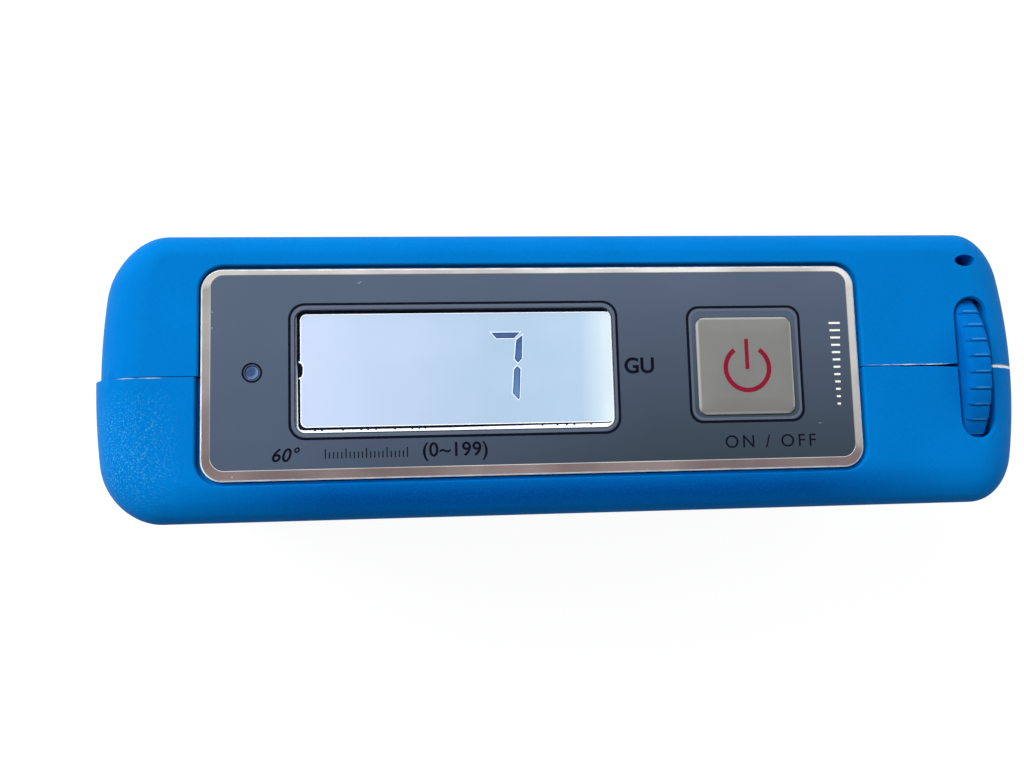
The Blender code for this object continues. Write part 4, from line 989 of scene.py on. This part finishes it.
# Painted shadow: a thin black line just round the window's hole stands in for the shade of its cut wall.
ring_print("window_lip", *WINDOW_SHADOW, window_mid, 0.07 * MM, PLATE_TOP, ink_black)
ring_print("key_band", (13.2 * MM, 13.25 * MM), 1.35 * MM, FRAME_MID, 0.3 * MM, UNDER_INK, band_grey)
ring_print(
    "window_line", (38.58 * MM, 15.72 * MM), 1.75 * MM, (-14.145 * MM, 0.335 * MM), 0.29 * MM, PLATE_TOP, ink_black
)
ring_print("key_line", (13.85 * MM, 13.9 * MM), 1.4 * MM, FRAME_MID, 0.31 * MM, PLATE_TOP, ink_black)
ring_print("indicator_ring", *RING, PIPE_MID, 0.22 * MM, PLATE_TOP, ink_black)
rings = []
for inset, z in (
    (0.0, pipe_low.z),
    (0.0, PLATE_TOP - 0.16 * MM),
    (0.03, PLATE_TOP - 0.09 * MM),
    (0.12, PLATE_TOP - 0.04 * MM),
    (0.36, PLATE_TOP - 0.005 * MM),
):
    reach = PIPE_RADIUS - inset * MM
    rings.append(level(oval(reach, reach), PIPE_MID, z))
lens = smooth(loft("indicator_lens", rings), 50)
dress(lens, indicator_smoke, "meter", "indicator_pipe", slot="indicator_smoke")
lettering("angle_mark", "60°", 2.15 * MM, (-34.05 * MM, -9.42 * MM), 0.03 * MM, 1.05, 0.25)
lettering("range_mark", "(0~199)", 2.3 * MM, (-14.45 * MM, -9.15 * MM), 0.03 * MM, 1.05)
lettering("unit_mark", "GU", 2.6 * MM, (7.72 * MM, 0.33 * MM), 0.06 * MM)
lettering("switch_caption", "ON / OFF", 2.15 * MM, (23.35 * MM, -9.0 * MM), 0.0, 1.3)

# Small nicks in the film and its rim, given in millimetres and degrees
for number, (x, y, long, wide, lean) in enumerate((
    (-25.25, 10.75, 0.5, 0.07, 35),
    (-25.42, 10.68, 0.22, 0.06, 120),
    (8.2, -12.02, 0.3, 0.07, 10),
    (-39.9, -11.72, 0.16, 0.12, 0),
    (-42.22, 5.5, 0.34, 0.07, 84),
    (29.6, -6.9, 0.42, 0.05, 8),
    (-42.2, 7.4, 0.26, 0.06, 95),
)):
    turn = math.radians(lean)
    along = (long * math.cos(turn) / 2, long * math.sin(turn) / 2)
    across = (-wide * math.sin(turn) / 2, wide * math.cos(turn) / 2)
    corners = [
        ((x + i * along[0] + j * across[0]) * MM, (y + i * along[1] + j * across[1]) * MM)
        for i, j in ((1, 0.3), (0.2, 1), (-1, 0.4), (-0.8, -0.6), (0.3, -1))
    ]
    flat_print(f"nick_{number}", corners, PLATE_TOP - INK / 4, nick_pale)

# Fine rows of ticks: a short scale beside the measuring angle, and a plain level scale by the thumbwheel
scale = Repeat("scale_ticks", "Ticks")
fifth = scale.math("COMPARE", scale.math("MODULO", scale.index, 5), 0)
scale.shaped("Scale", 1.0, scale.line(fifth, 0.55, 1.0), 1.0)
scale.at(scale.line(scale.index, TICK_PITCH, TICK_START[0]), TICK_START[1], 0.0)
tick = block("tick", (-0.06 * MM, 0, PLATE_TOP), (0.06 * MM, 0.75 * MM, PLATE_TOP + INK))
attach(scale.bake("scale_row", tick, ink_black, Ticks=TICKS), "meter")

levels = Repeat("level_mark", "Lines")
share = levels.math("DIVIDE", levels.index, LEVEL_LINES - 1)
levels.at(LEVEL_TOP[0], levels.line(share, -LEVEL_RUN, LEVEL_TOP[1]), 0.0)
levels.shaped("Scale", levels.line(share, -LEVEL_TAPER, 1.0), 1.0, 1.0)
line = block("line", (-0.7 * MM, -0.12 * MM, PLATE_TOP), (0.7 * MM, 0.12 * MM, PLATE_TOP + INK))
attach(levels.bake("level_lines", line, ink_white, Lines=LEVEL_LINES), "meter")

# Thumbwheel: a turned body with a smooth shoulder on its left, and ribs set round its rim
RIBS = 42
RIB_FOOT = 1.3 * MM


def rib_form():
    """One rib in the wheel's own frame: a long slope that ends in a step, rounded off at its right."""
    pitch = math.tau / RIBS
    slope = (
        (0.02, 0.2), (0.07, 0.17), (0.25, 0.12), (0.5, 0.07), (0.8, 0.02), (0.87, 0.0), (0.93, 0.03), (0.985, 0.14),
    )
    rings = []
    for x, drop in (
        (-1.5, 0.76), (-1.42, 0.46), (-1.26, 0.24), (-1.0, 0.09), (-0.7, 0.0),
        (1.0, 0.0), (1.2, 0.06), (1.38, 0.2), (1.5, 0.42), (1.545, 0.7),
    ):
        corners = [(share, WHEEL_RADIUS - (low + drop) * MM) for share, low in slope]
        corners += [(share, WHEEL_RADIUS - RIB_FOOT) for share in (0.985, 0.5, 0.02)]
        rings.append([
            (x * MM, reach * math.cos(share * pitch), reach * math.sin(share * pitch)) for share, reach in corners
        ])
    return loft("rib", rings)


ribs = Repeat("wheel_ribs", "Ribs")
ribs.shaped("Rotation", ribs.product(ribs.index, math.tau / RIBS), 0.0, 0.0)
rib_ring = ribs.bake("rib_ring", rib_form(), wheel_blue, Ribs=RIBS)
rings = []
for x, drop in (
    (-1.55, 0.95), (-1.5, 0.68), (-1.36, 0.47), (-1.1, 0.34), (-0.8, 0.28),
    (1.0, 0.28), (1.2, 0.34), (1.36, 0.5), (1.5, 0.78), (1.55, 1.1),
):
    reach = WHEEL_RADIUS - drop * MM
    rings.append([(x * MM, *point) for point in oval(reach, reach, 168)])
wheel = carve(loft("wheel_skin", rings), rib_ring, joined=True)
carve(wheel, rod("wheel_bore", (-WHEEL_HALF - THROUGH, 0, 0), (WHEEL_HALF + THROUGH, 0, 0), 2.8 * MM))
wheel.data.transform(Matrix.Translation(WHEEL_MID))
dress(smooth(wheel, 50), wheel_blue, "wheel", "calibration_wheel", slot="wheel_blue")

# Display: a lit panel, with a white margin and the black line of its gasket round it
DISPLAY_TOP = pane_high.z - 0.16 * MM


def on_display(name, left, right, front, rear, radius, layer, material):
    """A rounded flat on the display, given by its sides in millimetres."""
    size = ((right - left) * MM, (rear - front) * MM)
    middle = ((left + right) / 2 * MM, (front + rear) / 2 * MM)
    top = DISPLAY_TOP + layer * INK
    dress(slab(name, size, radius * MM, middle, top - INK, top, 10), material, "meter")


def display_print(name, points, layer, material):
    flat_print(name, [(x * MM, y * MM) for x, y in points], DISPLAY_TOP + (layer - 1) * INK, material)


def grown(points, amount):
    """A convex outline, given clockwise, with each side moved outward."""
    moved = []
    for before, point, after in zip(points[-1:] + points[:-1], points, points[1:] + points[:1]):
        sides = (Vector(point) - Vector(before)).normalized(), (Vector(after) - Vector(point)).normalized()
        first, second = (Vector((-side.y, side.x)) for side in sides)
        normal = (first + second).normalized()
        moved.append(tuple(Vector(point) + normal * (amount / max(normal.dot(first), 0.5))))
    return moved


margin = slab("display_margin", wider(WINDOW, 0.72 * MM), 0.95 * MM, PANE_MID, pane_low.z, DISPLAY_TOP, 10)
dress(margin, margin_white, "meter", "display_window", slot="lcd_glass")
GASKET = [
    (-32.0, 7.62), (3.7, 7.5), (4.15, 7.2), (4.2, -6.22), (3.9, -6.33), (-15.0, -6.5), (-31.85, -6.5),
    (-32.3, -6.4), (-32.5, -6.0), (-32.56, -0.4), (-32.65, 1.6), (-32.64, 6.8), (-32.46, 7.4),
]
display_print("gasket_line", GASKET, 1, ink_black)
on_display("display_edge", -32.24, 4.52, -6.2, 7.08, 0.7, 2, margin_white)
on_display("display_panel", -32.14, 4.42, -6.1, 7.0, 0.6, 3, display)
NOTCH = [(-32.5, 1.44), (-32.12, 1.26), (-31.95, 0.88), (-31.97, 0.06), (-32.12, -0.28), (-32.5, -0.44)]
display_print("notch_edge", [(x + 0.1, y * 1.15 - 0.06) for x, y in NOTCH], 4, margin_white)
display_print("notch", NOTCH, 5, ink_black)
DASHES = (-30.6, -29.8, -27.4, -25.3, -24.5, -23.6, -21.4, -19.4, -18.6, -17.9, -4.1, -2.3, -1.2, -0.3, 1.7)
for number, x in enumerate(DASHES):
    y = -6.5 + 0.004 * (x + 32)
    dash = [(x - 0.12, y), (x + 0.13, y), (x + 0.08, y - 0.13), (x - 0.09, y - 0.12)]
    display_print(f"gasket_mark_{number}", dash, 2, ink_black)

DIGIT = {
    "digit_top": [(-9.85, 4.65), (-6.55, 4.65), (-7.2, 4.0), (-9.3, 4.0)],
    "digit_upper_right": [(-6.22, 4.28), (-6.35, 1.5), (-6.8, 1.07), (-7.15, 1.46), (-6.92, 3.72)],
    "digit_lower_right": [(-6.9, 0.6), (-6.55, 0.28), (-6.74, -3.12), (-6.86, -3.3), (-7.48, -2.6), (-7.26, 0.22)],
}
for name, points in DIGIT.items():
    display_print(name + "_halo", grown(points, 0.15), 4, segment_halo)
    display_print(name + "_edge", grown(points, 0.01), 5, segment_edge)
    display_print(name, grown(points, -0.09), 6, segment_on)

# Key: a pillowed silver cap, with the ring and bar of a power symbol printed on it
key_rings = []
for inset, radius, z in (
    (0.0, 1.05, key_low.z + 2.0 * MM),
    (0.0, 1.05, key_high.z - 0.42 * MM),
    (0.04, 1.03, key_high.z - 0.3 * MM),
    (0.14, 0.98, key_high.z - 0.22 * MM),
    (0.3, 0.9, key_high.z - 0.185 * MM),
    (0.95, 0.7, key_high.z - 0.11 * MM),
    (1.6, 0.6, key_high.z - 0.03 * MM),
    (2.1, 0.6, key_high.z),
):
    side = KEY_SIZE - 2 * inset * MM
    key_rings.append(level(rounded(side, side, radius * MM, 10), KEY_MID, z))
flange = rounded(key_high.x - key_low.x, key_high.y - key_low.y, 1.2 * MM, 10)
flange_high = key_low.z + 1.9 * MM
key = loft("key_cap", [level(flange, KEY_MID, z) for z in (flange_high - 1.0 * MM, flange_high)] + key_rings)
carve(key, rod("key_stem", (*KEY_MID.xy, key_low.z), (*KEY_MID.xy, flange_high), 1.8 * MM), joined=True)
dress(smooth(key, 35), key_silver, "key", "power_button", slot="key_silver")

POWER_MID = (20.8 * MM, -0.14 * MM)
POWER_RADII = (2.94 * MM, 2.39 * MM)
POWER_GAP = 35
POWER_STEPS = 64
rings = []
for step in range(POWER_STEPS + 1):
    angle = math.radians(90 + POWER_GAP + (360 - 2 * POWER_GAP) * step / POWER_STEPS)
    section = zip((POWER_RADII[0], *POWER_RADII, POWER_RADII[1]), (0.0, INK, INK, 0.0))
    rings.append([
        (POWER_MID[0] + reach * math.cos(angle), POWER_MID[1] + reach * math.sin(angle), key_high.z + lift)
        for reach, lift in section
    ])
dress(loft("power_ring", rings), ink_crimson, "key", slot="key_silver")
bar_mid = (POWER_MID[0], 1.55 * MM)
bar = slab("power_bar", (0.46 * MM, 3.66 * MM), 0.04 * MM, bar_mid, key_high.z, key_high.z + INK, 2)
dress(bar, ink_crimson, "key", slot="key_silver")

# Battery door and measuring foot: the CAD forms with eased edges
for node, body in (("battery_door", "door"), ("optics_block", "meter")):
    dress(refined(node, CAD_EASE), CAD_FINISHES[slots[node]], body, node, slot=slots[node])


def screw_form(shank):
    """A pan-head screw with a cross recess: its head's face is at the origin, and its shank points up."""
    head = ((0.0, 1.25), (0.03, 1.5), (0.12, 1.68), (0.3, 1.78), (0.5, 1.8), (1.24, 1.8), (1.3, 1.74), (1.3, 0.92))
    tail = ((shank + 0.6, 0.9), (shank + 1.1, 0.72), (shank + 1.3, 0.42))
    rings = [level(oval(radius * MM, radius * MM, 40), (0, 0), z * MM) for z, radius in head + tail]
    arm, half, deep = 1.05 * MM, 0.24 * MM, 0.8 * MM
    bar_x = block("bar_x", (-arm, -half, -deep), (arm, half, deep))
    bar_y = block("bar_y", (-half, -arm, -deep), (half, arm, deep))
    return carve(loft("screw", rings), bar_x, bar_y)


def set_screws(name, place, turn, shank, replaced):
    """Four screws at points that follow from their numbers, each driven home at its own angle."""
    screws = Repeat(name, "Screws")
    side = screws.line(screws.math("MODULO", screws.index, 2), 2.0, -1.0)
    row = screws.math("FLOOR", screws.math("DIVIDE", screws.index, 2))
    driven = screws.product(screws.index, math.radians(SCREW_TURN))
    screws.at(*place(screws, side, row))
    screws.shaped("Rotation", *turn(screws, driven))
    piece = screws.bake(name, screw_form(shank), screw_steel, Screws=len(replaced))
    mount(smooth(piece, 35), "meter", *replaced, slot="screw_steel")


foot_face, _, foot_screw = place_of("foot_screw_right_rear")
set_screws(
    "foot_screws",
    lambda tree, side, row: (
        tree.product(side, foot_screw.x),
        tree.product(tree.line(row, 2.0, -1.0), foot_screw.y),
        foot_face.z,
    ),
    lambda tree, driven: (0.0, 0.0, driven),
    8.0,
    ["foot_screw_left_front", "foot_screw_left_rear", "foot_screw_right_front", "foot_screw_right_rear"],
)
_, case_face, case_screw = place_of("case_screw_2")
case_rise = place_of("case_screw_3")[2].z - case_screw.z
under_wheel = place_of("case_screw_4")[2].z - place_of("case_screw_3")[2].z
set_screws(
    "case_screws",
    lambda tree, side, row: (
        tree.product(side, case_screw.x),
        case_face.y,
        tree.line(tree.math("COMPARE", tree.index, 3), under_wheel, tree.line(row, case_rise, case_screw.z)),
    ),
    lambda tree, driven: (math.radians(90), tree.product(driven, -1.0), 0.0),
    15.0,
    [f"case_screw_{i}" for i in range(1, 5)],
)

# Camera, at the photograph's place
camera_data = bpy.data.cameras.new("camera")
camera_data.sensor_width = 36.0
camera_data.lens = 36.884
camera_data.clip_start = 0.005
camera = shown("camera", camera_data)
right = Vector((0.99514, -0.02763, 0.09450))
up = Vector((0.01641, 0.99294, 0.11744))
back = Vector((-0.09708, -0.11532, 0.98857))
turn = Matrix((right, up, back)).transposed().to_4x4()
camera.matrix_world = Matrix.Translation((-19.622 * MM, -15.813 * MM, 186.52 * MM)) @ turn
scene.camera = camera

# Floor: pale paper, which camera, mirror and glass rays meet as plain white
bm = bmesh.new()
bmesh.ops.create_grid(bm, x_segments=1, y_segments=1, size=3.0)
floor = keep("floor", bm)
paper = Finish("floor_paper", Roughness=0.9)
paper.colour(paper.ramp(paper.noise(0.2, 2), (0.3, (0.80, 0.80, 0.80)), (0.7, (0.83, 0.83, 0.83))))
rays = paper.add("ShaderNodeLightPath").outputs
seen = paper.math("MAXIMUM", rays["Is Camera Ray"], rays["Is Glossy Ray"])
seen = paper.math("MAXIMUM", seen, rays["Is Transmission Ray"])
shine = paper.add("ShaderNodeEmission")
shine.inputs["Strength"].default_value = FLOOR_SHINE
blend = paper.add("ShaderNodeMixShader")
sources = (paper.product(seen, FLOOR_WHITE), paper.surface.outputs[0], shine.outputs[0])
for source, socket in zip(sources, blend.inputs):
    paper.link(source, socket)
paper.link(blend.outputs[0], paper.tree.nodes["Material Output"].inputs["Surface"])
floor.data.materials.append(paper.material)


# Soft studio light, and the sky that fills in and that mirrors see


def softbox(name, place, aim, size, power):
    data = bpy.data.lights.new(name, "AREA")
    data.shape = "RECTANGLE"
    data.size, data.size_y = size
    data.energy = power
    lamp = shown(name, data)
    lamp.visible_glossy = False
    place = Vector(place)
    turn = (Vector(aim) - place).to_track_quat("-Z", "Y").to_matrix().to_4x4()
    lamp.matrix_world = Matrix.Translation(place) @ turn


softbox("key_softbox", (-0.32, 0.24, 0.44), (0, 0, 0.06), (0.45, 0.35), KEY_POWER)
softbox("fill_softbox", (0.42, 0.05, 0.2), (0, 0, 0.05), (0.3, 0.3), FILL_POWER)
world = bpy.data.worlds.new("studio")
scene.world = world
world.use_nodes = True
sky = Nodes(world.node_tree)
heading = sky.split_xyz(sky.add("ShaderNodeTexCoord").outputs["Generated"])
rays = sky.add("ShaderNodeLightPath").outputs
fill = sky.spread(heading["Y"], SKY_FRONT, SKY_REAR, -0.7, 0.5, interpolation_type="SMOOTHSTEP")
toward = sky.line(heading["X"], MIRRORED_LEAN, heading["Y"])
mirrored = sky.ramp(sky.spread(toward, 0.0, 1.0, -1.0, 1.0), *MIRRORED)
seen = sky.mix(rays["Is Camera Ray"], sky.mix(rays["Is Glossy Ray"], fill, mirrored), (1.0, 1.0, 1.0))
sky.link(seen, sky.tree.nodes["Background"].inputs["Color"])
scene.view_settings.view_transform = "Standard"
